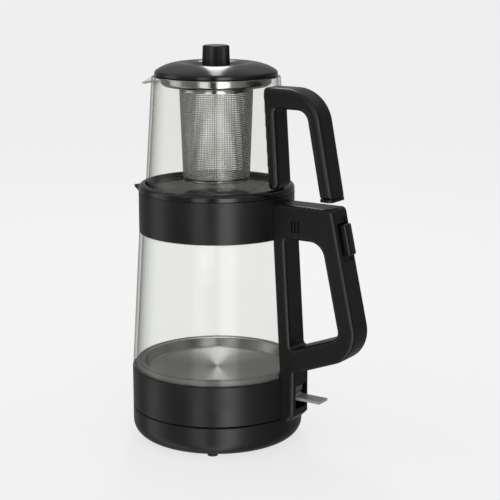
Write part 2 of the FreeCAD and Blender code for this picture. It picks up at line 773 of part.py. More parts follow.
def make_heating_element():
    piece = new_piece("heating_element")
    middle = spreader_under - s.element_radius
    section = new_drawing(piece, circles=[(-s.element_ring, middle, s.element_radius)])
    feature = piece.newObject("PartDesign::Revolution", "heating_element_bend")
    feature.Profile = section
    feature.ReferenceAxis = (origin_feature(piece, "Z_Axis"), [""])
    bind(feature, "Angle", s.element_angle)
    feature.Midplane = True
    document.recompute()


def make_thermostat_control():
    piece = new_piece("thermostat_control")
    bottom = connector_top + s.running_gap
    half_length = s.control_length / 2
    half_width = s.control_width / 2
    block = new_drawing(piece, [[
        (-half_length, -half_width, 3), (half_length, -half_width, 3),
        (half_length, half_width, 3), (-half_length, half_width, 3),
    ]], plane="XY_Plane", offset=bottom)
    top = spreader_under - 2 * s.disc_thickness
    add_pad(piece, block, top - bottom)


def make_bimetal_discs():
    piece = new_piece("bimetal_discs")
    bottom = spreader_under - 2 * s.disc_thickness
    reach = s.control_length / 4
    discs = new_drawing(piece, circles=[(-reach, 0, s.disc_radius), (reach, 0, s.disc_radius)],
                        plane="XY_Plane", offset=bottom)
    add_pad(piece, discs, s.disc_thickness)


# Kettle glass, collar and seat

def make_glass_jug():
    piece = new_piece("glass_jug")
    neck_foot = s.glass_shoulder_height + s.shoulder_rise
    neck_inner = neck_radius - s.glass_thickness
    add_turned(piece, [
        (glass_radius, ring_top),
        (s.glass_shoulder_radius, s.glass_shoulder_height, 0.6),
        (neck_radius, neck_foot, 0.4),
        (neck_radius, neck_top, 0.8),
        (neck_inner, neck_top, 0.8),
        (neck_inner, neck_foot, 3),
        (s.glass_shoulder_radius - s.glass_thickness, s.glass_shoulder_height - 3, 1),
        (glass_radius - s.glass_thickness, ring_top),
    ])


def beak_section(half_width, top, bottom, half_keel):
    """Outline across a pouring beak: open width at the top, narrow keel at the bottom."""
    return [(-half_width, top), (-half_keel, bottom), (half_keel, bottom), (half_width, top)]


def make_kettle_collar():
    piece = new_piece("kettle_collar")
    outside = s.glass_shoulder_radius
    flange_inner = outside - s.collar_flange
    add_turned(piece, [
        (collar_inner, collar_bottom),
        (outside, collar_bottom, 0.5),
        (outside, collar_top),
        (collar_inner, collar_top),
        (collar_inner, seat_under),
        (flange_inner, seat_under),
        (flange_inner, flange_under),
        (collar_inner, flange_under),
    ])
    root = -(collar_inner + 0.4)
    tip = -beak_reach
    tip_top = collar_top - s.beak_droop
    first = new_drawing(piece, [beak_section(
        s.beak_width / 2, collar_top, collar_top - s.beak_depth, 3,
    )], plane="YZ_Plane", offset=root)
    second = new_drawing(piece, [beak_section(
        s.beak_tip_width / 2, tip_top, tip_top - s.beak_tip_depth, 0.5,
    )], plane="YZ_Plane", offset=tip)
    join_sections(piece, "PartDesign::AdditiveLoft", first, second)
    above = collar_top + 3
    start = -(collar_inner - 2)
    inner = new_drawing(piece, [beak_section(
        s.beak_width / 2 - s.beak_wall, above, flange_under - 8, 1.6,
    )], plane="YZ_Plane", offset=start)
    outer = new_drawing(piece, [beak_section(
        0.9, above, tip_top - s.beak_tip_depth + 1.2, 0.2,
    )], plane="YZ_Plane", offset=tip - 0.5)
    join_sections(piece, "PartDesign::SubtractiveLoft", inner, outer)


def make_collar_seal():
    piece = new_piece("collar_seal")
    bottom = neck_top - s.seal_height - 3
    top = bottom + s.seal_height
    add_turned(piece, [
        (neck_radius, bottom), (collar_inner, bottom), (collar_inner, top), (neck_radius, top),
    ])


def make_collar_trim_ring():
    piece = new_piece("collar_trim_ring")
    outside = s.glass_shoulder_radius
    inside = outside - s.trim_width
    top = collar_top + s.trim_height
    add_turned(piece, [
        (inside, collar_top),
        (outside, collar_top, 0.8),
        (outside, top, s.trim_width * 0.75),
        (inside, top, 0.8),
    ])


def make_teapot_seat():
    piece = new_piece("teapot_seat")
    outside = collar_inner - s.seat_gap
    lip = s.seat_opening + s.seat_thickness
    add_turned(piece, [
        (s.seat_opening, collar_top - s.seat_lip),
        (lip, collar_top - s.seat_lip),
        (lip, seat_under),
        (outside, seat_under),
        (outside, collar_top),
        (s.seat_opening, collar_top, 1),
    ])


# Kettle handle

def handle_outline():
    """Outer edge of the kettle handle, seen from the side."""
    inside = s.glass_shoulder_radius - 8
    bevel = foot_box_reach - s.foot_box_bevel
    return [
        (inside, s.handle_top),
        (handle_top_reach, s.handle_top, s.handle_edge + 1),
        (handle_knee_reach, s.handle_knee_height, s.handle_knee_rounding),
        (foot_box_reach, s.handle_heel_height),
        (foot_box_reach, s.foot_box_bottom + s.foot_box_bevel),
        (bevel, s.foot_box_bottom),
        (inside, s.foot_box_bottom),
    ]


def finger_outline(grow):
    """Finger opening of the kettle handle, widened all round by grow."""
    top = s.handle_top - s.arm_depth + grow
    grip = (s.grip_depth - grow) * lean_length
    arm_rise = ((s.handle_knee_height - s.handle_heel_height)
                / (handle_knee_reach - foot_box_reach))
    column = column_foot_reach - grow

    def arm_top(reach):
        """Height of the lower arm's upper face."""
        return s.handle_heel_height + s.lower_arm_depth - grow + (
            (reach - foot_box_reach) * arm_rise)

    def grip_inside(height):
        return grip_face(height) - grip

    # The two sloping faces meet where the arm's rise and the grip's lean agree.
    reach = (grip_inside(arm_top(0)) - 0) / (arm_rise * handle_lean + 1)
    return [
        (column_top_reach - grow, top, s.finger_column_rounding),
        (grip_inside(top), top, s.finger_top_rounding),
        (reach, arm_top(reach), s.finger_knee_rounding),
        (column, arm_top(column), s.finger_column_rounding),
    ]


def screw_places():
    """Side-view places of the three screws that hold the handle shells together."""
    grip_height = s.screw_post_height
    arm = s.handle_top - s.arm_depth / 2
    foot = foot_box_reach - s.handle_wall - s.screw_post_radius - 0.5
    return [
        (grip_face(grip_height) - s.grip_depth * 0.52, grip_height),
        (handle_top_reach - 20, arm),
        (foot - 0.4, s.handle_heel_height + 6),
    ]


def make_handle_shell(name, side):
    """One half of the kettle handle. side is -1 for the left half and 1 for the right half."""
    piece = new_piece(name)
    backwards = side > 0
    drawing = new_drawing(piece, [handle_outline(), finger_outline(as_size(0))])
    add_pad(piece, drawing, half_handle, backwards=backwards)
    face = side * half_handle.value
    root = s.glass_shoulder_radius.value

    def is_long_edge(edge):
        return lies_at_y(edge, face) and edge.BoundBox.XMax > root

    round_edges(piece, is_long_edge, smaller(s.handle_edge, half_handle / 2))
    # The inner side follows the foot ring, the tapered glass and the collar.
    gap = s.running_gap
    cut_turned(piece, [
        (0, s.foot_box_bottom - 5),
        (s.base_radius + gap, s.foot_box_bottom - 5),
        (s.base_radius + gap, ring_top),
        (glass_radius + gap, ring_top),
        (s.glass_shoulder_radius + gap, s.glass_shoulder_height),
        (s.glass_shoulder_radius + gap, s.handle_top + 5),
        (0, s.handle_top + 5),
    ])
    hollow_handle(piece, side)
    for across, up in screw_places():
        post = new_drawing(piece, circles=[(across, up, s.screw_post_radius)])
        add_pad(piece, post, half_handle - s.handle_wall, backwards=backwards)
        hole = new_drawing(piece, circles=[(across, up, s.screw_radius)])
        tip = s.handle_screw_length - half_handle + s.handle_screw_recess
        cut_pocket(piece, hole, half_handle if side > 0 else tip, backwards=not backwards)
        if side > 0:
            recess = new_drawing(piece, circles=[
                (across, up, s.screw_head_radius + s.screw_head_gap)], offset=-half_handle)
            depth = s.handle_screw_recess + s.screw_head_height
            cut_pocket(piece, recess, depth, backwards=True)
    cut_button_window(piece)
    cut_lever_window(piece)
    cut_vents(piece, side)


def hollow_handle(piece, side):
    """Leave the shell's wall and take out the space that the two halves enclose."""
    wall = s.handle_wall
    inside = s.glass_shoulder_radius + s.running_gap + wall
    foot_inside = s.base_radius + s.running_gap + wall
    face_wall = wall * lean_length
    knee = (handle_knee_reach - face_wall * 1.35, s.handle_knee_height + wall * 1.35,
            s.handle_knee_rounding - wall)
    top_reach = handle_top_reach - face_wall + wall * handle_lean
    rooms = [
        (inside + 0.4, s.handle_top - wall),
        (top_reach, s.handle_top - wall, 2),
        knee,
        (foot_box_reach - wall, s.handle_heel_height + wall * 0.9),
        (foot_box_reach - wall, s.foot_box_bottom + s.foot_box_bevel + 1),
        (foot_box_reach - s.foot_box_bevel, s.foot_box_bottom + wall),
        (foot_inside, s.foot_box_bottom + wall),
        (foot_inside, ring_top + 2),
        (inside + 0.4, s.glass_shoulder_height),
    ]
    drawing = new_drawing(piece, [rooms, finger_outline(wall)])
    cut_pocket(piece, drawing, half_handle - wall, backwards=side < 0)


def cut_button_window(piece):
    half_length = s.button_length / 2
    half_recess = s.button_recess_length / 2
    gap = s.running_gap
    window = new_drawing(piece, [[
        on_grip(-half_length - gap, s.button_proud),
        on_grip(half_length + gap, s.button_proud),
        on_grip(half_length + gap, -s.handle_wall - 2),
        on_grip(-half_length - gap, -s.handle_wall - 2),
    ]])
    cut_pocket(piece, window, s.button_width + 2 * gap, both_ways=True)
    recess = new_drawing(piece, [[
        on_grip(-half_recess, s.button_proud),
        on_grip(half_recess, s.button_proud),
        on_grip(half_recess, -s.button_recess_depth),
        on_grip(-half_recess, -s.button_recess_depth),
    ]])
    cut_pocket(piece, recess, s.button_width + 2 * gap, both_ways=True)


def cut_lever_window(piece):
    start = foot_box_reach - s.handle_wall - 1
    window = new_drawing(piece, [[
        (start, s.lever_window_bottom), (foot_box_reach + 1, s.lever_window_bottom),
        (foot_box_reach + 1, s.lever_window_top), (start, s.lever_window_top),
    ]])
    cut_pocket(piece, window, s.lever_window_width, both_ways=True)


def cut_vents(piece, side):
    """Three upright slots through the shell's side wall."""
    middle = s.handle_top - s.vent_drop
    low = middle - s.vent_height / 2
    high = middle + s.vent_height / 2
    slots = []
    for step in (-1, 0, 1):
        left = vent_reach + step * s.vent_spacing - s.vent_width / 2
        right = left + s.vent_width
        slots.append([(left, low), (right, low), (right, high), (left, high)])
    drawing = new_drawing(piece, slots)
    cut_pocket(piece, drawing, half_handle + 1, backwards=side < 0)


def make_handle_screws():
    """Heads in the right shell, so that none shows from the left."""
    piece = new_piece("handle_screws")
    face = -(half_handle - s.handle_screw_recess)
    for across, up in screw_places():
        head = new_drawing(piece, circles=[(across, up, s.screw_head_radius)], offset=face)
        add_pad(piece, head, s.screw_head_height)
        shank = new_drawing(piece, circles=[(across, up, s.screw_radius)], offset=face)
        add_pad(piece, shank, s.handle_screw_length)


def make_steam_tube():
    piece = new_piece("steam_tube")
    middle = s.glass_shoulder_radius + s.running_gap + s.handle_wall + s.steam_tube_radius + 0.6
    height = s.handle_top - s.arm_depth - ring_top - 34
    tube = new_drawing(piece, circles=[(0, 0, s.steam_tube_radius), (0, 0, s.steam_tube_bore)],
                       plane="XY_Plane")
    add_pad(piece, tube, height)
    foot = ring_top + 30
    foot_reach = glass_radius - 0.2 + s.handle_wall + s.steam_tube_radius
    lean = math.degrees(math.atan((middle.value - foot_reach.value) / height.value))
    piece.Placement = FreeCAD.Placement(
        FreeCAD.Vector(foot_reach.value, 0, foot.value),
        FreeCAD.Rotation(FreeCAD.Vector(0, 1, 0), lean))
    piece.setExpression("Placement.Base.x", foot_reach.formula)
    piece.setExpression("Placement.Base.z", foot.formula)


def make_boil_switch():
    piece = new_piece("boil_switch")
    left = s.base_radius + s.running_gap + s.handle_wall
    right = foot_box_reach - s.handle_wall - 0.4
    bottom = s.lever_height + s.lever_hub + 2
    top = s.handle_heel_height - 2
    block = new_drawing(piece, [[(left, bottom), (right, bottom), (right, top), (left, top)]])
    add_pad(piece, block, s.lever_width, both_ways=True)


def make_indicator_lamp():
    piece = new_piece("indicator_lamp")
    low = s.foot_box_bottom + s.handle_wall
    reach = s.base_radius + s.running_gap + s.handle_wall + s.lamp_radius
    lamp = new_drawing(piece, circles=[(reach, 0, s.lamp_radius)],
                       plane="XY_Plane", offset=low)
    add_pad(piece, lamp, s.lever_window_bottom - low)


def make_lever_pin():
    piece = new_piece("lever_pin")
    drawing = new_drawing(piece, circles=[(lever_pin_reach, s.lever_height,
                                           s.lever_pin_radius)])
    add_pad(piece, drawing, s.handle_width - 2 * s.handle_wall, both_ways=True)


def make_switch_lever():
    piece = new_piece("switch_lever")
    half = s.lever_thickness / 2
    hub = new_drawing(piece, circles=[(lever_pin_reach, s.lever_height, s.lever_hub)])
    add_pad(piece, hub, s.lever_width, both_ways=True)
    arm = new_drawing(piece, [[
        (lever_pin_reach, s.lever_height - half),
        (lever_reach, s.lever_height - half, 0.6),
        (lever_reach, s.lever_height + half, 0.6),
        (lever_pin_reach, s.lever_height + half),
    ]])
    add_pad(piece, arm, s.lever_width, both_ways=True)
    bore = new_drawing(piece, circles=[(lever_pin_reach, s.lever_height,
                                        s.lever_pin_radius + s.lever_pin_gap)])
    cut_pocket(piece, bore, s.lever_width + 2, both_ways=True)


def make_handle_button():
    piece = new_piece("handle_button")
    half = s.button_length / 2
    inner = s.handle_wall + s.running_gap
    cap = new_drawing(piece, [[
        on_grip(-half, s.button_proud) + (1.5,),
        on_grip(half, s.button_proud) + (1.5,),
        on_grip(half, -inner - s.button_flange),
        on_grip(-half, -inner - s.button_flange),
    ]])
    add_pad(piece, cap, s.button_width, both_ways=True)
    flange = new_drawing(piece, [[
        on_grip(-half - 1.5, -inner), on_grip(half + 1.5, -inner),
        on_grip(half + 1.5, -inner - s.button_flange),
        on_grip(-half - 1.5, -inner - s.button_flange),
    ]])
    add_pad(piece, flange, s.button_width + 2, both_ways=True)


def button_back():
    """How far behind the grip's face the pressed button reaches."""
    return s.handle_wall + s.running_gap + s.button_flange + s.button_travel


def make_button_switch():
    piece = new_piece("button_switch")
    front = -(button_back() + s.running_gap)
    back = -(s.grip_depth - s.handle_wall - 0.3)
    middle = s.button_length / 4
    block = new_drawing(piece, [[
        on_grip(-middle - 5, front), on_grip(-middle + 5, front),
        on_grip(-middle + 5, back), on_grip(-middle - 5, back),
    ]])
    add_pad(piece, block, 7, both_ways=True)


def make_button_spring():
    """The return spring at its pressed length, coiled along the press direction."""
    piece = new_piece("button_spring")
    front = -(button_back() + s.running_gap)
    back = -(s.grip_depth - s.handle_wall - 0.3)
    middle = s.button_length / 4
    centre_x, centre_z = on_grip(middle, back)
    ring = new_drawing(piece, circles=[(0, 0, s.spring_radius),
                                       (0, 0, s.spring_radius - s.spring_wire)],
                       plane="YZ_Plane")
    add_pad(piece, ring, front - back)
    lean = math.degrees(math.atan(handle_lean.value))
    piece.Placement = FreeCAD.Placement(
        FreeCAD.Vector(centre_x.value, 0, centre_z.value),
        FreeCAD.Rotation(FreeCAD.Vector(0, 1, 0), -lean))
    piece.setExpression("Placement.Base.x", centre_x.formula)
    piece.setExpression("Placement.Base.z", centre_z.formula)


# Teapot

def pot_face(height):
    """Outer radius of the tapered teapot glass."""
    taper = (s.pot_radius - s.pot_rim_radius) / s.pot_height
    return s.pot_radius - (height - pot_bottom) * taper


def make_teapot_glass():
    piece = new_piece("teapot_glass")
    floor_top = pot_bottom + s.pot_wall
    add_turned(piece, [
        (0, pot_bottom),
        (s.pot_radius, pot_bottom, s.pot_corner),
        (s.pot_rim_radius, pot_rim, 0.8),
        (s.pot_rim_radius - s.pot_wall, pot_rim, 0.8),
        (s.pot_radius - s.pot_wall, floor_top, s.pot_corner - s.pot_wall),
        (0, floor_top),
    ])
    root = -(s.pot_rim_radius - s.pot_wall * 0.4)
    tip = -lip_reach
    tip_top = pot_rim - s.lip_droop
    first = new_drawing(piece, [beak_section(
        s.lip_width / 2, pot_rim, pot_rim - s.lip_depth, 4,
    )], plane="YZ_Plane", offset=root)
    second = new_drawing(piece, [beak_section(
        s.lip_tip_width / 2, tip_top, tip_top - s.lip_wall - 1, 2,
    )], plane="YZ_Plane", offset=tip)
    join_sections(piece, "PartDesign::AdditiveLoft", first, second)
    above = pot_rim + 3
    inner = new_drawing(piece, [beak_section(
        s.lip_width / 2 - s.lip_wall, above, pot_rim - s.lip_depth + 3.4 * s.lip_wall, 2.4,
    )], plane="YZ_Plane", offset=root + 3.2)
    outer = new_drawing(piece, [beak_section(
        s.lip_tip_width / 2 - s.lip_wall * 0.6, above, tip_top - 1.2, 1.4,
    )], plane="YZ_Plane", offset=tip - 0.5)
    join_sections(piece, "PartDesign::SubtractiveLoft", inner, outer)


# The teapot's grip leans too.
pot_lean = ((pot_handle_end_reach - pot_handle_top_reach)
            / (s.pot_handle_top - s.pot_handle_bottom))
pot_lean_length = square_root(pot_lean * pot_lean + 1)


def pot_grip_face(height):
    return pot_handle_top_reach + (s.pot_handle_top - height) * pot_lean


def make_teapot_handle():
    piece = new_piece("teapot_handle")
    grip = s.pot_grip_depth * pot_lean_length
    end = s.pot_handle_bottom + s.cap_thickness
    under = s.pot_handle_top - s.pot_arm_depth
    column_top = pot_face(under) + s.pad_thickness + s.pot_column_thickness
    column_foot = pot_face(s.pot_column_bottom) + s.pad_thickness + s.pot_column_thickness
    outline = new_drawing(piece, [[
        (s.pot_rim_radius - 6, s.pot_handle_top, 2),
        (pot_handle_top_reach, s.pot_handle_top, s.pot_handle_bend),
        (pot_grip_face(end), end),
        (pot_grip_face(end) - grip, end),
        (pot_grip_face(under) - grip, under, s.pot_finger_bend),
        (column_top, under, 3),
        (column_foot, s.pot_column_bottom, 7),
        (s.pot_rim_radius - 6, s.pot_column_bottom),
    ]])
    add_pad(piece, outline, s.pot_handle_width, both_ways=True)
    half = s.pot_handle_width.value / 2
    round_edges(piece, lambda edge: lies_at_y(edge, half) or lies_at_y(edge, -half),
                smaller(s.pot_handle_edge, s.pot_grip_depth / 2.2))
    gap = s.pad_thickness
    cut_turned(piece, [
        (0, pot_bottom),
        (s.pot_radius + gap, pot_bottom),
        (s.pot_rim_radius + gap, pot_rim),
        (s.pot_rim_radius + gap, pot_rim + 5),
        (0, pot_rim + 5),
    ])
    room = new_drawing(piece, [[
        (pot_grip_face(end) - 3, end), (pot_grip_face(end) - grip + 3, end),
        (pot_grip_face(end + 6) - grip + 3, end + 6), (pot_grip_face(end + 6) - 3, end + 6),
    ]])
    cut_pocket(piece, room, s.pot_handle_width - 6, both_ways=True)


def make_teapot_handle_cap():
    """Plug in the open end of the teapot's grip, with the grip's own outline."""
    piece = new_piece("teapot_handle_cap")
    end = s.pot_handle_bottom + s.cap_thickness
    outer = pot_grip_face(end)
    inner = outer - s.pot_grip_depth * pot_lean_length
    half = s.pot_handle_width / 2
    rounding = smaller(s.pot_handle_edge, s.pot_grip_depth / 2.2)
    outline = new_drawing(piece, [[
        (inner, -half, rounding), (outer, -half, rounding),
        (outer, half, rounding), (inner, half, rounding),
    ]], plane="XY_Plane", offset=s.pot_handle_bottom)
    add_pad(piece, outline, s.cap_thickness)
    plug = new_drawing(piece, [[
        (outer - 3.1, end), (inner + 3.1, end),
        (pot_grip_face(end + 5) - s.pot_grip_depth * pot_lean_length + 3.1, end + 5),
        (pot_grip_face(end + 5) - 3.1, end + 5),
    ]])
    add_pad(piece, plug, s.pot_handle_width - 6.2, both_ways=True)


def make_handle_bond_pads():
    piece = new_piece("handle_bond_pads")
    low = s.pot_column_bottom + 8
    high = s.pot_handle_top - 5 - s.pad_height
    for bottom in (low, high):
        top = bottom + s.pad_height
        gap = s.pad_thickness
        add_turned(piece, [
            (pot_face(bottom), bottom), (pot_face(bottom) + gap, bottom),
            (pot_face(top) + gap, top), (pot_face(top), top),
        ], angle=s.pad_angle, middle=True)


# Infuser

def make_infuser_rim():
    piece = new_piece("infuser_rim")
    sheet_thickness = s.infuser_sheet
    shoulder = infuser_top - s.infuser_band_height
    inner = infuser_radius - sheet_thickness
    add_turned(piece, [
        (inner, infuser_top),
        (infuser_flange, infuser_top),
        (infuser_flange, pot_rim),
        (infuser_radius, pot_rim),
        (infuser_radius, shoulder),
        (s.basket_radius, shoulder),
        (s.basket_radius, shoulder + sheet_thickness),
        (inner, shoulder + sheet_thickness),
    ])


def make_infuser_basket():
    piece = new_piece("infuser_basket")
    top = infuser_top - s.infuser_band_height + s.infuser_sheet
    add_turned(piece, [
        (s.basket_radius, top),
        (s.basket_foot_radius, s.basket_floor),
        (s.basket_foot_radius - s.infuser_sheet, s.basket_floor),
        (s.basket_radius - s.infuser_sheet, top),
    ])


def make_infuser_bottom():
    piece = new_piece("infuser_bottom")
    edge = s.basket_foot_radius - s.infuser_sheet
    top = s.basket_floor + s.infuser_sheet
    add_turned(piece, [(0, s.basket_floor), (edge, s.basket_floor), (edge, top), (0, top)])


# Lid

def make_lid_shell():
    piece = new_piece("lid_shell")
    thick = s.lid_thickness
    edge_top = lid_bottom + s.lid_edge_height
    crest = lid_bottom + s.lid_crest_height
    dip = lid_bottom + s.lid_dip_height
    add_turned(piece, [
        (s.screw_radius, dip),
        (s.lid_dip_radius, dip, 3),
        (s.lid_crest_radius, crest, 14),
        (lid_radius - 0.6, edge_top, 5),
        (lid_radius, lid_bottom, 0.4),
        (lid_radius - thick, lid_bottom, 0.4),
        (lid_radius - 0.8 - thick, edge_top - thick * 0.6, 3),
        (s.lid_crest_radius, crest - thick * 1.1, 14),
        (s.lid_dip_radius, dip - thick, 3),
        (s.screw_radius, dip - thick),
    ])


def make_lid_liner():
    """Cup under the lid that drops into the infuser's band."""
    piece = new_piece("lid_liner")
    outside = infuser_radius - s.infuser_sheet - s.liner_clearance
    inside = outside - s.liner_wall
    top = lid_bottom + s.liner_wall
    bottom = lid_bottom - s.lid_gap - s.liner_height
    add_turned(piece, [
        (inside, bottom),
        (outside, bottom, 0.6),
        (outside, lid_bottom),
        (lid_radius - s.lid_thickness - 0.9, lid_bottom),
        (lid_radius - s.lid_thickness - 0.9, top),
        (0, top),
        (0, lid_bottom),
        (inside, lid_bottom),
    ])


def make_lid_seal():
    piece = new_piece("lid_seal")
    inner = infuser_radius - s.infuser_sheet - s.liner_clearance
    outer = inner + s.liner_clearance - s.running_gap
    middle = lid_bottom - s.lid_gap - s.liner_height / 2
    low = middle - s.lid_seal_height / 2
    high = middle + s.lid_seal_height / 2
    add_turned(piece, [(inner, low), (outer, middle), (inner, high)])


def make_lid_knob():
    piece = new_piece("lid_knob")
    bottom = lid_bottom + s.lid_dip_height
    top = bottom + s.knob_height
    roof = top - s.knob_wall
    add_turned(piece, [
        (s.screw_radius, bottom),
        (s.screw_radius + s.knob_wall, bottom),
        (s.screw_radius + s.knob_wall, roof),
        (s.knob_radius - s.knob_wall, roof),
        (s.knob_radius - s.knob_wall, bottom),
        (s.knob_radius, bottom, 0.5),
        (s.knob_radius, top, s.knob_rounding),
        (0, top),
        (0, roof),
        (s.screw_radius, roof),
    ])


def make_knob_screw():
    piece = new_piece("knob_screw")
    washer = lid_bottom + s.lid_dip_height - s.lid_thickness
    head = washer - s.screw_head_height
    end = washer + s.lid_thickness + s.screw_length
    add_turned(piece, [
        (0, head), (s.screw_head_radius, head), (s.screw_head_radius, washer),
        (s.screw_radius, washer), (s.screw_radius, end), (0, end),
    ])


make_base_shell()
make_base_bottom_cover()
make_upright_screws("base_screws", cover_screw_circle, s.foot_height)
make_base_feet()
make_base_socket()
make_socket_contacts()
make_cord_inlet()
make_kettle_connector()
make_connector_pins()
make_kettle_base_ring()
make_kettle_bottom_cover()
make_upright_screws("kettle_base_screws", -kettle_post_circle,
                    bottom_cover_top - s.bottom_cover_thickness)
make_heating_plate()
make_plate_seal()
make_heat_spreader()
make_heating_element()
make_thermostat_control()
make_bimetal_discs()
make_glass_jug()
make_kettle_collar()
make_collar_seal()
make_collar_trim_ring()
make_teapot_seat()
make_handle_shell("handle_left_shell", -1)
make_handle_shell("handle_right_shell", 1)
make_handle_screws()
make_steam_tube()
make_boil_switch()
make_indicator_lamp()
make_lever_pin()
make_switch_lever()
make_handle_button()
make_button_switch()
make_button_spring()
make_teapot_glass()
make_teapot_handle()
make_teapot_handle_cap()
make_handle_bond_pads()
make_infuser_rim()
make_infuser_basket()
make_infuser_bottom()
make_lid_shell()
make_lid_liner()
make_lid_seal()
make_lid_knob()
make_knob_screw()

document.recompute()
failed = [thing.Label for thing in document.Objects
          if "Invalid" in thing.State or "Error" in thing.State]
if failed:
    raise RuntimeError("these objects failed: " + ", ".join(failed))
for piece in pieces:
    if piece.Shape.isNull() or not piece.Shape.isValid() or not piece.Shape.Solids:
        raise RuntimeError("no valid solid in " + piece.Label)

os.makedirs("parts", exist_ok=True)
for piece in pieces:
    piece.Shape.exportStep("parts/" + piece.Label + ".step")
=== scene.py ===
import json
import math

import bmesh
import bpy
from mathutils import Matrix, Vector


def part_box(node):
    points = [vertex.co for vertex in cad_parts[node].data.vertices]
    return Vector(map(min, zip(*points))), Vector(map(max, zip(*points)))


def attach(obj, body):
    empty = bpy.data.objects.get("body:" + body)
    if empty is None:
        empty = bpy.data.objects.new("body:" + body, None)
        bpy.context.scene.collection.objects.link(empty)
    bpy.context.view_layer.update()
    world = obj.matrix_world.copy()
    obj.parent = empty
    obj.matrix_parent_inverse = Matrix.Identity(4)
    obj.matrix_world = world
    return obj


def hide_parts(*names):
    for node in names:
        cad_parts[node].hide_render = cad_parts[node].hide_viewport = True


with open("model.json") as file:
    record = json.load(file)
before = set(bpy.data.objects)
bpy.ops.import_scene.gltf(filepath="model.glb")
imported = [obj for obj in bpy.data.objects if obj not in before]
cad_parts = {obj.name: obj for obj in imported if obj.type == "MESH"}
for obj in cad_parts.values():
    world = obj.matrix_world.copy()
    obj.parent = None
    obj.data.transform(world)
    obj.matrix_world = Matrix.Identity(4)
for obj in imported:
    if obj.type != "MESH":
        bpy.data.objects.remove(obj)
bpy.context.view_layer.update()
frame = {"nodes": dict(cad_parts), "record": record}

# Automatic tea maker: looks, studio light and camera.
# The kettle's axis is the Z axis, the handles point to +X and the beaks to -X.
# Lengths are in metres, apart from the corners that profile_of takes in millimetres.

MM = 0.001

# Fineness of the turned pieces
SEGMENTS = 192
GLASS_SEGMENTS = 288
ARC_STEPS = 6
CURVE_STEPS = 8
ON_AXIS = 1e-7


# Shapes

def corner_arc(before, corner, after, rounding):
    """Points of the arc that rounds a corner of a profile."""
    here = Vector(corner)
    to_before = Vector(before) - here
    to_after = Vector(after) - here
    half = to_before.angle(to_after) / 2
    back = rounding / math.tan(half)
    limit = 0.49 * min(to_before.length, to_after.length)
    if back > limit:
        back = limit
        rounding = back * math.tan(half)
    to_before.normalize()
    to_after.normalize()
    centre = here + (to_before + to_after).normalized() * (rounding / math.sin(half))
    first = here + to_before * back - centre
    last = here + to_after * back - centre
    sweep = first.angle_signed(last)
    points = []
    for step in range(ARC_STEPS + 1):
        turn = -sweep * step / ARC_STEPS
        arm = Matrix.Rotation(turn, 2) @ first
        points.append(tuple(centre + arm))
    return points


def profile_of(corners, closed=True):
    """A profile's points in metres from corners (radius, height) or
    (radius, height, rounding) in millimetres."""
    count = len(corners)
    flat = [(c[0] * MM, c[1] * MM) for c in corners]
    points = []
    for index, corner in enumerate(corners):
        inside = closed or 0 < index < count - 1
        if len(corner) == 3 and inside:
            before = flat[index - 1]
            after = flat[(index + 1) % count]
            points.extend(corner_arc(before, flat[index], after, corner[2] * MM))
        else:
            points.append(flat[index])
    return points


def smooth_curve(corners):
    """Points of a smooth line through corners (radius, height)."""
    points = []
    last = len(corners) - 1
    for index in range(last):
        before = Vector(corners[max(index - 1, 0)])
        start = Vector(corners[index])
        end = Vector(corners[index + 1])
        after = Vector(corners[min(index + 2, last)])
        for step in range(CURVE_STEPS):
            share = step / CURVE_STEPS
            place = 0.5 * (
                2 * start
                + (end - before) * share
                + (2 * before - 5 * start + 4 * end - after) * share * share
                + (3 * start - before - 3 * end + after) * share * share * share
            )
            points.append(tuple(place))
    points.append(tuple(corners[last]))
    return points


def new_piece(name, vertices, faces, material, body, nodes, sharp=35):
    """A mesh piece that rides on a body and stands for CAD nodes. Edges over the sharp
    angle, in degrees, stay sharp."""
    mesh = bpy.data.meshes.new(name)
    mesh.from_pydata(vertices, [], faces)
    mesh.validate()
    mesh.shade_smooth()
    mesh.set_sharp_from_angle(angle=math.radians(sharp))
    mesh.materials.append(material)
    piece = bpy.data.objects.new(name, mesh)
    bpy.context.scene.collection.objects.link(piece)
    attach(piece, body)
    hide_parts(*nodes)
    return piece


def turned_mesh(profile, segments=SEGMENTS, closed=True, shape=None):
    """Vertices and faces of a profile turned round the Z axis. The function shape may
    move each point, given as radius, height and angle."""
    vertices = []
    faces = []
    rows = []
    for radius, height in profile:
        if radius < ON_AXIS:
            rows.append([len(vertices)] * segments)
            vertices.append((0, 0, height))
            continue
        row = []
        for index in range(segments):
            angle = 2 * math.pi * index / segments
            place = (radius, height, angle)
            if shape is not None:
                place = shape(*place)
            across, up, angle = place
            row.append(len(vertices))
            vertices.append((across * math.cos(angle), across * math.sin(angle), up))
        rows.append(row)
    pairs = list(zip(rows, rows[1:]))
    if closed:
        pairs.append((rows[-1], rows[0]))
    for lower, upper in pairs:
        for index in range(segments):
            after = (index + 1) % segments
            corners = [lower[index], lower[after], upper[after], upper[index]]
            face = list(dict.fromkeys(corners))
            if len(face) > 2:
                faces.append(face)
    return vertices, faces


# Materials

def start_material(name):
    """A new material with its node tree and its shader."""
    material = bpy.data.materials.new(name)
    material.use_nodes = True
    tree = material.node_tree
    shader = tree.nodes["Principled BSDF"]
    return material, tree, shader


def add_node(tree, kind, **settings):
    """A new node with its settings."""
    node = tree.nodes.new(kind)
    for key, value in settings.items():
        setattr(node, key, value)
    return node


def object_place(tree, scale=(1, 1, 1)):
    """Socket of the place on the piece, stretched along each axis."""
    place = add_node(tree, "ShaderNodeTexCoord")
    mapping = add_node(tree, "ShaderNodeMapping")
    mapping.inputs["Scale"].default_value = scale
    tree.links.new(place.outputs["Object"], mapping.inputs["Vector"])
    return mapping.outputs["Vector"]


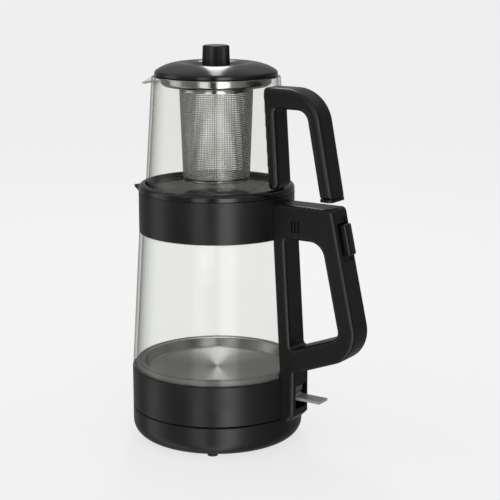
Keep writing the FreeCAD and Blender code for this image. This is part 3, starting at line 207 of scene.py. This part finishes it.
def noise(tree, scale, detail=3, stretch=(1, 1, 1)):
    """Socket of a noise, in cells to the metre."""
    node = add_node(tree, "ShaderNodeTexNoise")
    node.inputs["Scale"].default_value = scale
    node.inputs["Detail"].default_value = detail
    tree.links.new(object_place(tree, stretch), node.inputs["Vector"])
    return node.outputs["Fac"]


def spread(tree, source, low, high, first=0.3, last=0.7):
    """Socket of a number taken from the range first to last onto low to high."""
    node = add_node(tree, "ShaderNodeMapRange")
    node.inputs["From Min"].default_value = first
    node.inputs["From Max"].default_value = last
    node.inputs["To Min"].default_value = low
    node.inputs["To Max"].default_value = high
    tree.links.new(source, node.inputs["Value"])
    return node.outputs["Result"]


def tint(tree, source, dark, light, first=0.3, last=0.7):
    """Socket of a colour between two others."""
    node = add_node(tree, "ShaderNodeValToRGB")
    ramp = node.color_ramp
    ramp.elements[0].position = first
    ramp.elements[1].position = last
    ramp.elements[0].color = (*dark, 1)
    ramp.elements[1].color = (*light, 1)
    tree.links.new(source, node.inputs["Fac"])
    return node.outputs["Color"]


def add_bump(tree, shader, source, depth, strength=1.0):
    """Surface relief of a depth in metres."""
    node = add_node(tree, "ShaderNodeBump")
    node.inputs["Strength"].default_value = strength
    node.inputs["Distance"].default_value = depth
    tree.links.new(source, node.inputs["Height"])
    tree.links.new(node.outputs["Normal"], shader.inputs["Normal"])


def distance_from_axis(tree):
    """Socket of the distance from the Z axis, in metres."""
    place = add_node(tree, "ShaderNodeTexCoord")
    parts = add_node(tree, "ShaderNodeSeparateXYZ")
    flat = add_node(tree, "ShaderNodeCombineXYZ")
    length = add_node(tree, "ShaderNodeVectorMath", operation="LENGTH")
    tree.links.new(place.outputs["Object"], parts.inputs["Vector"])
    tree.links.new(parts.outputs["X"], flat.inputs["X"])
    tree.links.new(parts.outputs["Y"], flat.inputs["Y"])
    tree.links.new(flat.outputs["Vector"], length.inputs[0])
    return length.outputs["Value"]


def plastic(name, dark, light, smooth, rough, grain, depth, specular, coat=0.0):
    """Moulded plastic with a fine grain and a slowly changing gloss."""
    material, tree, shader = start_material(name)
    patches = noise(tree, scale=14, detail=4)
    tree.links.new(tint(tree, patches, dark, light), shader.inputs["Base Color"])
    gloss = noise(tree, scale=45, detail=5)
    tree.links.new(spread(tree, gloss, smooth, rough), shader.inputs["Roughness"])
    add_bump(tree, shader, noise(tree, scale=grain, detail=2), depth)
    shader.inputs["Specular IOR Level"].default_value = specular
    shader.inputs["Coat Weight"].default_value = coat
    shader.inputs["Coat Roughness"].default_value = 0.06
    return material


def glass(name, head_on, edge_on):
    """Clear glass: it mirrors more and passes less where it is seen edge-on."""
    material, tree, shader = start_material(name)
    tree.nodes.remove(shader)
    ripples = add_node(tree, "ShaderNodeBump")
    ripples.inputs["Strength"].default_value = 0.6
    ripples.inputs["Distance"].default_value = 0.0002
    upright_streaks = noise(tree, scale=45, detail=1, stretch=(1, 1, 0.05))
    tree.links.new(upright_streaks, ripples.inputs["Height"])
    facing = add_node(tree, "ShaderNodeLayerWeight")
    facing.inputs["Blend"].default_value = 0.5
    tree.links.new(ripples.outputs["Normal"], facing.inputs["Normal"])
    steep = add_node(tree, "ShaderNodeMath", operation="POWER")
    steep.inputs[1].default_value = 4.5
    tree.links.new(facing.outputs["Facing"], steep.inputs[0])
    mirror = spread(tree, steep.outputs["Value"], low=0.018, high=0.75, first=0.0, last=1.0)
    gloss = add_node(tree, "ShaderNodeBsdfGlossy")
    haze = noise(tree, scale=60, detail=4)
    tree.links.new(spread(tree, haze, low=0.015, high=0.05), gloss.inputs["Roughness"])
    tree.links.new(ripples.outputs["Normal"], gloss.inputs["Normal"])
    clear = add_node(tree, "ShaderNodeBsdfTransparent")
    passed = tint(tree, steep.outputs["Value"], head_on, edge_on, first=0.0, last=0.9)
    tree.links.new(passed, clear.inputs["Color"])
    mix = add_node(tree, "ShaderNodeMixShader")
    out = tree.nodes["Material Output"]
    tree.links.new(mirror, mix.inputs[0])
    tree.links.new(clear.outputs["BSDF"], mix.inputs[1])
    tree.links.new(gloss.outputs["BSDF"], mix.inputs[2])
    tree.links.new(mix.outputs["Shader"], out.inputs["Surface"])
    return material


def metal(name, dark, light, smooth, rough, scale, depth, stretch=(1, 1, 1)):
    """Bare metal with a fine pattern, drawn into lines where it is stretched."""
    material, tree, shader = start_material(name)
    lines = noise(tree, scale, detail=3, stretch=stretch)
    tree.links.new(tint(tree, lines, dark, light), shader.inputs["Base Color"])
    tree.links.new(spread(tree, lines, smooth, rough), shader.inputs["Roughness"])
    add_bump(tree, shader, lines, depth)
    shader.inputs["Metallic"].default_value = 1
    return material


def spun_steel(name):
    """Steel plate with fine rings turned round its middle."""
    material, tree, shader = start_material(name)
    radius = distance_from_axis(tree)
    rings = add_node(tree, "ShaderNodeTexNoise", noise_dimensions="1D")
    rings.inputs["Scale"].default_value = 2600
    rings.inputs["Detail"].default_value = 4
    tree.links.new(radius, rings.inputs["W"])
    lines = rings.outputs["Fac"]
    tree.links.new(tint(tree, lines, (0.36, 0.36, 0.35), (0.50, 0.50, 0.48)),
                   shader.inputs["Base Color"])
    tree.links.new(spread(tree, lines, low=0.30, high=0.38), shader.inputs["Roughness"])
    add_bump(tree, shader, lines, depth=0.01 * MM, strength=0.6)
    around = add_node(tree, "ShaderNodeTangent", direction_type="RADIAL", axis="Z")
    tree.links.new(around.outputs["Tangent"], shader.inputs["Tangent"])
    shader.inputs["Metallic"].default_value = 1
    shader.inputs["Anisotropic"].default_value = 0.9
    shader.inputs["Anisotropic Rotation"].default_value = 0.25
    return material


def rubbery(name, dark, light, rough, clear=0.0):
    """Silicone or rubber with a soft sheen."""
    roughness_change = 0.06
    material, tree, shader = start_material(name)
    patches = noise(tree, scale=30, detail=4)
    tree.links.new(tint(tree, patches, dark, light), shader.inputs["Base Color"])
    worn = spread(tree, patches, low=rough - roughness_change, high=rough + roughness_change)
    tree.links.new(worn, shader.inputs["Roughness"])
    add_bump(tree, shader, noise(tree, scale=900, detail=3), depth=0.04 * MM)
    shader.inputs["Subsurface Weight"].default_value = clear
    shader.inputs["Subsurface Radius"].default_value = (2 * MM, 2 * MM, 2 * MM)
    return material


# One material for each of the record's material slots
MATERIALS = {
    "black_satin": plastic(
        "satin_black_plastic", dark=(0.006, 0.006, 0.0064), light=(0.010, 0.010, 0.0104),
        smooth=0.26, rough=0.36, grain=2600, depth=0.012 * MM, specular=0.42),
    "black_gloss": plastic(
        "gloss_black_plastic", dark=(0.004, 0.004, 0.0043), light=(0.007, 0.007, 0.0073),
        smooth=0.12, rough=0.2, grain=700, depth=0.004 * MM, specular=0.5, coat=0.2),
    "inner_plastic": plastic(
        "heat_proof_moulding", dark=(0.10, 0.10, 0.10), light=(0.14, 0.14, 0.14),
        smooth=0.45, rough=0.6, grain=1800, depth=0.03 * MM, specular=0.4),
    "clear_lever": plastic(
        "clear_lever_plastic", dark=(0.30, 0.31, 0.31), light=(0.38, 0.39, 0.39),
        smooth=0.12, rough=0.22, grain=900, depth=0.006 * MM, specular=0.5, coat=0.2),
    "kettle_glass": glass(
        "kettle_glass", head_on=(0.982, 0.986, 0.975), edge_on=(0.72, 0.74, 0.70)),
    "pot_glass": glass(
        "teapot_glass", head_on=(0.978, 0.982, 0.97), edge_on=(0.70, 0.72, 0.68)),
    "plate_steel": spun_steel("spun_steel"),
    "infuser_steel": metal(
        "infuser_steel", dark=(0.50, 0.50, 0.48), light=(0.62, 0.62, 0.60),
        smooth=0.09, rough=0.15, scale=900, depth=0.002 * MM, stretch=(1, 1, 0.04)),
    "heater_aluminium": metal(
        "cast_aluminium", dark=(0.60, 0.60, 0.60), light=(0.72, 0.72, 0.72),
        smooth=0.35, rough=0.5, scale=300, depth=0.04 * MM),
    "screw_steel": metal(
        "plated_steel", dark=(0.45, 0.45, 0.45), light=(0.58, 0.58, 0.57),
        smooth=0.25, rough=0.38, scale=800, depth=0.01 * MM),
    "contact_brass": metal(
        "contact_brass", dark=(0.62, 0.45, 0.20), light=(0.78, 0.60, 0.30),
        smooth=0.22, rough=0.35, scale=700, depth=0.01 * MM),
    "clear_silicone": rubbery(
        "pale_silicone", dark=(0.17, 0.17, 0.16), light=(0.24, 0.24, 0.23),
        rough=0.34, clear=0.1),
    "black_rubber": rubbery(
        "black_rubber", dark=(0.012, 0.012, 0.012), light=(0.022, 0.022, 0.022), rough=0.62),
    "lamp_lens": plastic(
        "amber_lamp", dark=(0.55, 0.22, 0.05), light=(0.75, 0.35, 0.09),
        smooth=0.12, rough=0.2, grain=600, depth=0.008 * MM, specular=0.5),
}

# Every CAD node takes its slot's material
for part in frame["record"]["subparts"]:
    node = frame["nodes"][part["node"]]
    node.data.materials.clear()
    node.data.materials.append(MATERIALS[part["material_slot"]])


# Kettle glass

def add_kettle_glass():
    """Tapered jug whose neck steps in under the collar, in millimetres."""
    low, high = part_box("glass_jug")
    foot = low.z / MM
    top = high.z / MM
    foot_radius = 79.6
    shoulder_radius = 72
    shoulder_height = 196.8
    neck_radius = 69
    neck_step = 0.4
    wall = 3
    edge = 1.2
    profile = profile_of([
        (foot_radius, foot, edge),
        (shoulder_radius, shoulder_height, 0.6),
        (neck_radius, shoulder_height + neck_step, neck_step),
        (neck_radius, top, edge),
        (neck_radius - wall, top, edge),
        (neck_radius - wall, shoulder_height, 3),
        (shoulder_radius - wall, shoulder_height - wall, 1),
        (foot_radius - wall, foot, edge),
    ])
    vertices, faces = turned_mesh(profile)
    new_piece("kettle_glass_body", vertices, faces, MATERIALS["kettle_glass"], "kettle",
              ["glass_jug"])


add_kettle_glass()


# Teapot glass with its pouring lip

def add_teapot_glass():
    """Tapered pot with a rounded foot, a beaded rim and a drooping lip."""
    low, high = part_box("teapot_glass")
    floor = low.z
    rim = high.z
    foot_outside = 65.6 * MM
    rim_radius = 58.7 * MM
    wall = 2.5 * MM
    corner = 11 * MM
    corner_steps = 12
    side_steps = 6
    lip_steps = 24
    bead_depth = 0.4 * MM
    lip_reach = -low.x - rim_radius
    lip_depth = 17 * MM
    lip_droop = 11.5 * MM
    lip_half_angle = 0.42
    lip_foot = rim - lip_depth

    def wall_radius(height):
        return foot_outside + (rim_radius - foot_outside) * (height - floor) / (rim - floor)

    foot_radius = wall_radius(floor + corner)
    outer = [(0.0, floor), (foot_radius - corner, floor)]
    for step in range(1, corner_steps + 1):
        turn = math.pi / 2 * step / corner_steps
        outer.append((foot_radius - corner * (1 - math.sin(turn)),
                      floor + corner * (1 - math.cos(turn))))
    for step in range(1, side_steps + 1):
        height = floor + corner + (lip_foot - floor - corner) * step / side_steps
        outer.append((wall_radius(height), height))
    for step in range(1, lip_steps + 1):
        height = lip_foot + (rim - bead_depth - lip_foot) * step / lip_steps
        outer.append((wall_radius(height), height))
    inner = [(max(radius - wall, 0.0), max(height, floor + wall))
             for radius, height in reversed(outer)]
    middle = rim_radius - wall / 2
    bead = [(middle + 0.9 * MM, rim - 0.1 * MM), (middle + 0.3 * MM, rim),
            (middle - 0.3 * MM, rim), (middle - 0.9 * MM, rim - 0.1 * MM)]

    def lip(radius, height, angle):
        """A point of the wall, pulled out and down where it belongs to the lip."""
        off = math.remainder(angle - math.pi, 2 * math.pi) / lip_half_angle
        rise = (height - lip_foot) / lip_depth
        if abs(off) >= 1 or rise <= 0:
            return radius, height, angle
        share = (1 - off * off) ** 2
        out = lip_reach * share * rise ** 2.4
        drop = lip_droop * share * rise ** 3
        return radius + out, height - drop, angle

    vertices, faces = turned_mesh(outer + bead + inner, GLASS_SEGMENTS, closed=False, shape=lip)
    new_piece("teapot_glass_body", vertices, faces, MATERIALS["pot_glass"], "teapot",
              ["teapot_glass"], sharp=60)


add_teapot_glass()


# Heating plate and its seal

def add_plate():
    """Dished steel plate with a rolled rim, in millimetres."""
    low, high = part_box("heating_plate")
    sheet = 0.8
    flat = low.z / MM + sheet
    rim = high.z / MM + 4.6
    rim_radius = 73.2
    profile = profile_of([
        (0, flat),
        (64.5, flat, 2),
        (69, rim, 1.2),
        (rim_radius, rim, 0.3),
        (rim_radius, rim - sheet, 0.3),
        (69.8, rim - sheet, 0.8),
        (65.2, flat - sheet, 1.6),
        (0, flat - sheet),
    ], closed=False)
    vertices, faces = turned_mesh(profile, closed=False)
    new_piece("spun_plate", vertices, faces, MATERIALS["plate_steel"], "kettle",
              ["heating_plate"], sharp=50)


add_plate()


def add_plate_seal():
    """Ring between plate and glass, with a lip over the plate's rim, in millimetres."""
    low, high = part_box("plate_seal")
    bottom = low.z / MM
    top = high.z / MM + 5.2
    bore = 73.4
    lip_bore = 71.8
    lip_height = 1.6
    profile = profile_of([
        (bore, bottom, 0.4),
        (76.5, bottom, 0.4),
        (76.0, top, 1.4),
        (lip_bore, top, 0.9),
        (lip_bore, top - lip_height, 0.3),
        (bore, top - lip_height, 0.3),
    ])
    vertices, faces = turned_mesh(profile)
    new_piece("plate_seal_ring", vertices, faces, MATERIALS["clear_silicone"], "kettle",
              ["plate_seal"], sharp=50)


add_plate_seal()


# Infuser

def add_infuser_walls():
    """Basket wall with square rows of small round holes between two plain bands."""
    low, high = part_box("infuser_basket")
    top = high.z
    bottom = low.z
    top_radius = high.x
    foot_radius = 30.8 * MM
    inset = 0.1 * MM
    columns = 124
    rows = 46
    plain_top = 5 * MM
    plain_bottom = 4 * MM
    end_gap = 0.3 * MM
    hole = 0.39
    first = bottom + plain_bottom
    last = top - plain_top
    pitch = (last - first) / rows
    vertices = []
    faces = []

    def point(column, height):
        """Number of a new point of the wall, at a column and a height."""
        share = (height - bottom) / (top - bottom)
        radius = foot_radius + (top_radius - foot_radius) * share - inset
        angle = 2 * math.pi * column / columns
        vertices.append((radius * math.cos(angle), radius * math.sin(angle), height))
        return len(vertices) - 1

    # Points at the corners and the edge middles of each hole's square cell
    halves = columns * 2
    lattice = {}
    for level in range(rows * 2 + 1):
        for half in range(halves):
            if level % 2 and half % 2:
                continue
            lattice[(level, half)] = point(half / 2, first + pitch * level / 2)

    # Eight faces between each cell's outline and its hole
    outline = [(-1, -1), (0, -1), (1, -1), (1, 0), (1, 1), (0, 1), (-1, 1), (-1, 0)]
    for row in range(rows):
        for column in range(columns):
            rim = []
            ring = []
            for across, up in outline:
                half = (2 * column + 1 + across) % halves
                rim.append(lattice[(2 * row + 1 + up, half)])
                turn = math.atan2(up, across)
                ring.append(point(column + 0.5 + hole * math.cos(turn),
                                  first + pitch * (row + 0.5 + hole * math.sin(turn))))
            for index in range(len(outline)):
                after = (index + 1) % len(outline)
                faces.append((rim[index], rim[after], ring[after], ring[index]))

    # Plain bands at the foot and the top
    bands = [(0, bottom + end_gap), (rows * 2, top - end_gap)]
    for level, height in bands:
        outer_row = [point(half / 2, height) for half in range(halves)]
        for half in range(halves):
            after = (half + 1) % halves
            face = (lattice[(level, half)], lattice[(level, after)],
                    outer_row[after], outer_row[half])
            faces.append(face if level else face[::-1])

    piece = new_piece("infuser_basket_wall", vertices, faces, MATERIALS["infuser_steel"],
                      "infuser", ["infuser_basket"])
    sheet = piece.modifiers.new("sheet", "SOLIDIFY")
    sheet.thickness = 0.45 * MM
    sheet.offset = -1


add_infuser_walls()


def add_infuser_rim():
    """Flange, band and rounded shoulder over the basket, in millimetres."""
    low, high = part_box("infuser_rim")
    top = high.z / MM
    shoulder = low.z / MM
    flange = high.x / MM
    band = 50.5
    basket = 34
    sheet = 0.6
    bend = 2.5
    profile = profile_of([
        (basket, shoulder, 0.2),
        (band - bend, shoulder, 2),
        (band, shoulder + bend, 2),
        (band, top - sheet, 0.8),
        (flange, top - sheet, 0.2),
        (flange, top, 0.3),
        (band - sheet, top, 1.2),
        (band - sheet, shoulder + 2.8, 1.6),
        (band - 2.9, shoulder + sheet, 1.6),
        (basket, shoulder + sheet, 0.2),
    ])
    vertices, faces = turned_mesh(profile)
    new_piece("infuser_rim_band", vertices, faces, MATERIALS["infuser_steel"], "infuser",
              ["infuser_rim"])


add_infuser_rim()


# Lid and knob

def add_lid():
    """Domed lid that dips round its knob."""
    low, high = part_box("lid_shell")
    bottom = low.z
    top = high.z
    edge = high.x
    dip = 8 * MM
    wall = 2 * MM
    dip_radius = 12 * MM
    rim_edge = 0.6 * MM
    crown = smooth_curve([
        (edge, bottom + 2.6 * MM),
        (54.6 * MM, bottom + 4.8 * MM),
        (48 * MM, bottom + 8.4 * MM),
        (40 * MM, top - 3 * MM),
        (33 * MM, top - 2.3 * MM),
        (25 * MM, top - 3.7 * MM),
        (18 * MM, top - 6.2 * MM),
        (dip_radius, top - dip),
    ])
    under = [
        (dip_radius, top - dip - wall),
        (31 * MM, top - 4.4 * MM),
        (47 * MM, bottom + 6.4 * MM),
        (53.6 * MM, bottom + 2 * MM),
        (53.8 * MM, bottom),
    ]
    rim = [(edge - rim_edge, bottom), (edge, bottom + rim_edge)]
    profile = [(0.0, top - dip)] + crown[::-1] + rim[::-1] + under[::-1]
    profile.append((0.0, top - dip - wall))
    vertices, faces = turned_mesh(profile, closed=False)
    new_piece("lid_dome", vertices, faces, MATERIALS["black_gloss"], "lid", ["lid_shell"],
              sharp=50)


add_lid()


def add_knob():
    """Slightly tapered knob with fine upright ribs, in millimetres."""
    low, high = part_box("lid_knob")
    bottom = low.z / MM - 4.6
    top = high.z / MM
    radius = high.x / MM + 0.8
    ribs = 64
    steps_per_rib = 6
    rib_depth = 0.16 * MM
    ribs_from = 10.6 * MM
    ribs_fade = 1.2 * MM
    longest_step = 5 * MM
    side_steps = 8
    profile = profile_of([
        (0, bottom),
        (radius, bottom, 0.4),
        (radius - 0.7, top, 1.8),
        (0, top),
    ], closed=False)
    side = []
    for here, after in zip(profile, profile[1:]):
        side.append(here)
        if after[1] - here[1] > longest_step:
            for step in range(1, side_steps):
                share = step / side_steps
                side.append((here[0] + (after[0] - here[0]) * share,
                             here[1] + (after[1] - here[1]) * share))
    side.append(profile[-1])

    def ribbed(across, up, angle):
        """A point of the knob, drawn in between two ribs."""
        inset = rib_depth * (1 + math.cos(ribs * angle))
        on_side = min(max((across - ribs_from) / ribs_fade, 0), 1)
        return across - inset * on_side, up, angle

    vertices, faces = turned_mesh(side, ribs * steps_per_rib, closed=False, shape=ribbed)
    new_piece("lid_knob_grip", vertices, faces, MATERIALS["black_satin"], "lid",
              ["lid_knob"])


add_knob()


# Teapot handle, with its edges softened

def add_teapot_handle():
    """The handle's own shape, evened out and smoothed until its edges are round."""
    mesh = frame["nodes"]["teapot_handle"].data.copy()
    draft = bpy.data.objects.new("teapot_handle_draft", mesh)
    bpy.context.scene.collection.objects.link(draft)
    remesh = draft.modifiers.new("even", "REMESH")
    remesh.mode = "VOXEL"
    remesh.voxel_size = 0.8 * MM
    smooth = draft.modifiers.new("soft", "SMOOTH")
    smooth.factor = 0.5
    smooth.iterations = 14
    graph = bpy.context.evaluated_depsgraph_get()
    done = bpy.data.meshes.new_from_object(draft.evaluated_get(graph))
    vertices = [vertex.co[:] for vertex in done.vertices]
    faces = [polygon.vertices[:] for polygon in done.polygons]
    bpy.data.objects.remove(draft)
    bpy.data.meshes.remove(done)
    new_piece("teapot_handle_grip", vertices, faces, MATERIALS["black_satin"], "teapot",
              ["teapot_handle"], sharp=60)


add_teapot_handle()


# Press button

def add_button():
    """Rounded bar that leans back with the grip and stands out of it."""
    low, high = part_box("handle_button")
    middle = (low + high) / 2
    outward = Vector((0.976, 0, 0.218))
    along = Vector((-0.218, 0, 0.976))
    across = Vector((0, 1, 0))
    half_length = 14 * MM
    half_width = 6 * MM
    inner = -4 * MM
    outer = 6.2 * MM
    shape = bmesh.new()
    corners = []
    for up in (-half_length, half_length):
        for side in (-half_width, half_width):
            for depth in (inner, outer):
                place = middle + along * up + across * side + outward * depth
                corners.append(shape.verts.new(place))
    sides = [(0, 1, 3, 2), (4, 6, 7, 5), (0, 4, 5, 1), (2, 3, 7, 6), (0, 2, 6, 4), (1, 5, 7, 3)]
    for face in sides:
        shape.faces.new([corners[index] for index in face])
    bmesh.ops.bevel(shape, geom=list(shape.edges), offset=1.5 * MM, segments=4,
                    affect="EDGES", profile=0.5)
    bmesh.ops.recalc_face_normals(shape, faces=list(shape.faces))
    shape.verts.index_update()
    vertices = [vertex.co[:] for vertex in shape.verts]
    faces = [[vertex.index for vertex in face.verts] for face in shape.faces]
    shape.free()
    new_piece("press_button_cap", vertices, faces, MATERIALS["black_gloss"], "button",
              ["handle_button"], sharp=50)


add_button()


# Floor, light and camera

def add_floor():
    """Plain pale floor that glows a little, so that no dark shadow falls on it."""
    reach = 30.0
    corners = [(-reach, -reach, 0), (reach, -reach, 0), (reach, reach, 0), (-reach, reach, 0)]
    mesh = bpy.data.meshes.new("floor")
    mesh.from_pydata(corners, [], [(0, 1, 2, 3)])
    floor = bpy.data.objects.new("floor", mesh)
    bpy.context.scene.collection.objects.link(floor)
    material, tree, shader = start_material("pale_floor")
    patches = noise(tree, 0.8, 2)
    tree.links.new(tint(tree, patches, (0.28, 0.28, 0.28), (0.29, 0.29, 0.29)),
                   shader.inputs["Base Color"])
    shader.inputs["Emission Color"].default_value = (1, 1, 1, 1)
    shader.inputs["Emission Strength"].default_value = 0.72
    shader.inputs["Roughness"].default_value = 1
    shader.inputs["Specular IOR Level"].default_value = 0
    mesh.materials.append(material)
    floor.visible_glossy = False


add_floor()


def add_world():
    """Studio surroundings with upright bright and dark bands round the object."""
    world = bpy.data.worlds.new("studio")
    bpy.context.scene.world = world
    world.use_nodes = True
    # Compass direction in degrees and brightness, all the way round
    bands = [(-180, 0.15), (-170, 0.2), (-158, 0.9), (-142, 0.9), (-130, 0.3), (-112, 0.2),
             (-94, 0.2), (-86, 1.5), (-74, 1.3), (-66, 0.05), (-56, 0.05), (-49, 3.2),
             (-34, 2.6), (-24, 0.35), (-5, 0.25), (20, 0.10), (40, 0.08), (70, 0.15),
             (110, 0.25), (150, 0.25), (179, 0.15)]
    peak = max(level for degrees, level in bands)
    overhead = 0.5
    overhead_from = 0.35
    overhead_full = 0.75
    tree = world.node_tree
    sky = tree.nodes["Background"]
    sky.inputs["Color"].default_value = (1, 1, 1, 1)
    place = add_node(tree, "ShaderNodeTexCoord")
    parts = add_node(tree, "ShaderNodeSeparateXYZ")
    tree.links.new(place.outputs["Generated"], parts.inputs["Vector"])
    turn = add_node(tree, "ShaderNodeMath", operation="ARCTAN2")
    tree.links.new(parts.outputs["Y"], turn.inputs[0])
    tree.links.new(parts.outputs["X"], turn.inputs[1])
    share = add_node(tree, "ShaderNodeMapRange")
    share.inputs["From Min"].default_value = -math.pi
    share.inputs["From Max"].default_value = math.pi
    tree.links.new(turn.outputs["Value"], share.inputs["Value"])
    ramp = add_node(tree, "ShaderNodeValToRGB")
    tree.links.new(share.outputs["Result"], ramp.inputs["Fac"])
    elements = ramp.color_ramp.elements
    while len(elements) > 1:
        elements.remove(elements[0])
    for index, (degrees, level) in enumerate(bands):
        position = (degrees + 180) / 360
        element = elements[0] if index == 0 else elements.new(position)
        element.position = position
        element.color = (level / peak, level / peak, level / peak, 1)
    side = add_node(tree, "ShaderNodeMath", operation="MULTIPLY")
    side.inputs[1].default_value = peak
    tree.links.new(ramp.outputs["Color"], side.inputs[0])
    up = add_node(tree, "ShaderNodeMapRange", interpolation_type="SMOOTHSTEP")
    up.inputs["From Min"].default_value = overhead_from
    up.inputs["From Max"].default_value = overhead_full
    tree.links.new(parts.outputs["Z"], up.inputs["Value"])
    mix = add_node(tree, "ShaderNodeMix", data_type="FLOAT")
    tree.links.new(up.outputs["Result"], mix.inputs["Factor"])
    tree.links.new(side.outputs["Value"], mix.inputs["A"])
    mix.inputs["B"].default_value = overhead
    tree.links.new(mix.outputs["Result"], sky.inputs["Strength"])


add_world()


def add_softbox():
    """Long narrow lamp, high behind, which draws the bright wedges on the spun plate."""
    place = Vector((-0.34, 0.50, 1.15))
    target = Vector((0, 0, 0.1))
    data = bpy.data.lights.new("softbox", "AREA")
    data.shape = "RECTANGLE"
    data.size = 0.12
    data.size_y = 1.1
    data.energy = 2.6
    lamp = bpy.data.objects.new("softbox", data)
    bpy.context.scene.collection.objects.link(lamp)
    turn = (target - place).to_track_quat("-Z", "Y").to_matrix().to_4x4()
    lamp.matrix_world = Matrix.Translation(place) @ turn


add_softbox()


def add_camera():
    """Camera at the photo's angle."""
    place = (0.7524, -1.1020, 0.4720)
    data = bpy.data.cameras.new("camera")
    data.lens = 105.5
    data.sensor_width = 36
    camera = bpy.data.objects.new("camera", data)
    bpy.context.scene.collection.objects.link(camera)
    forward = Vector((-0.5319, 0.8190, -0.2153)).normalized()
    above = Vector((-0.1172, 0.1805, 0.9766)).normalized()
    right = forward.cross(above).normalized()
    above = right.cross(forward)
    turn = Matrix((right, above, -forward)).transposed()
    camera.matrix_world = Matrix.Translation(place) @ turn.to_4x4()
    bpy.context.scene.camera = camera


add_camera()

bpy.context.scene.view_settings.view_transform = "Standard"
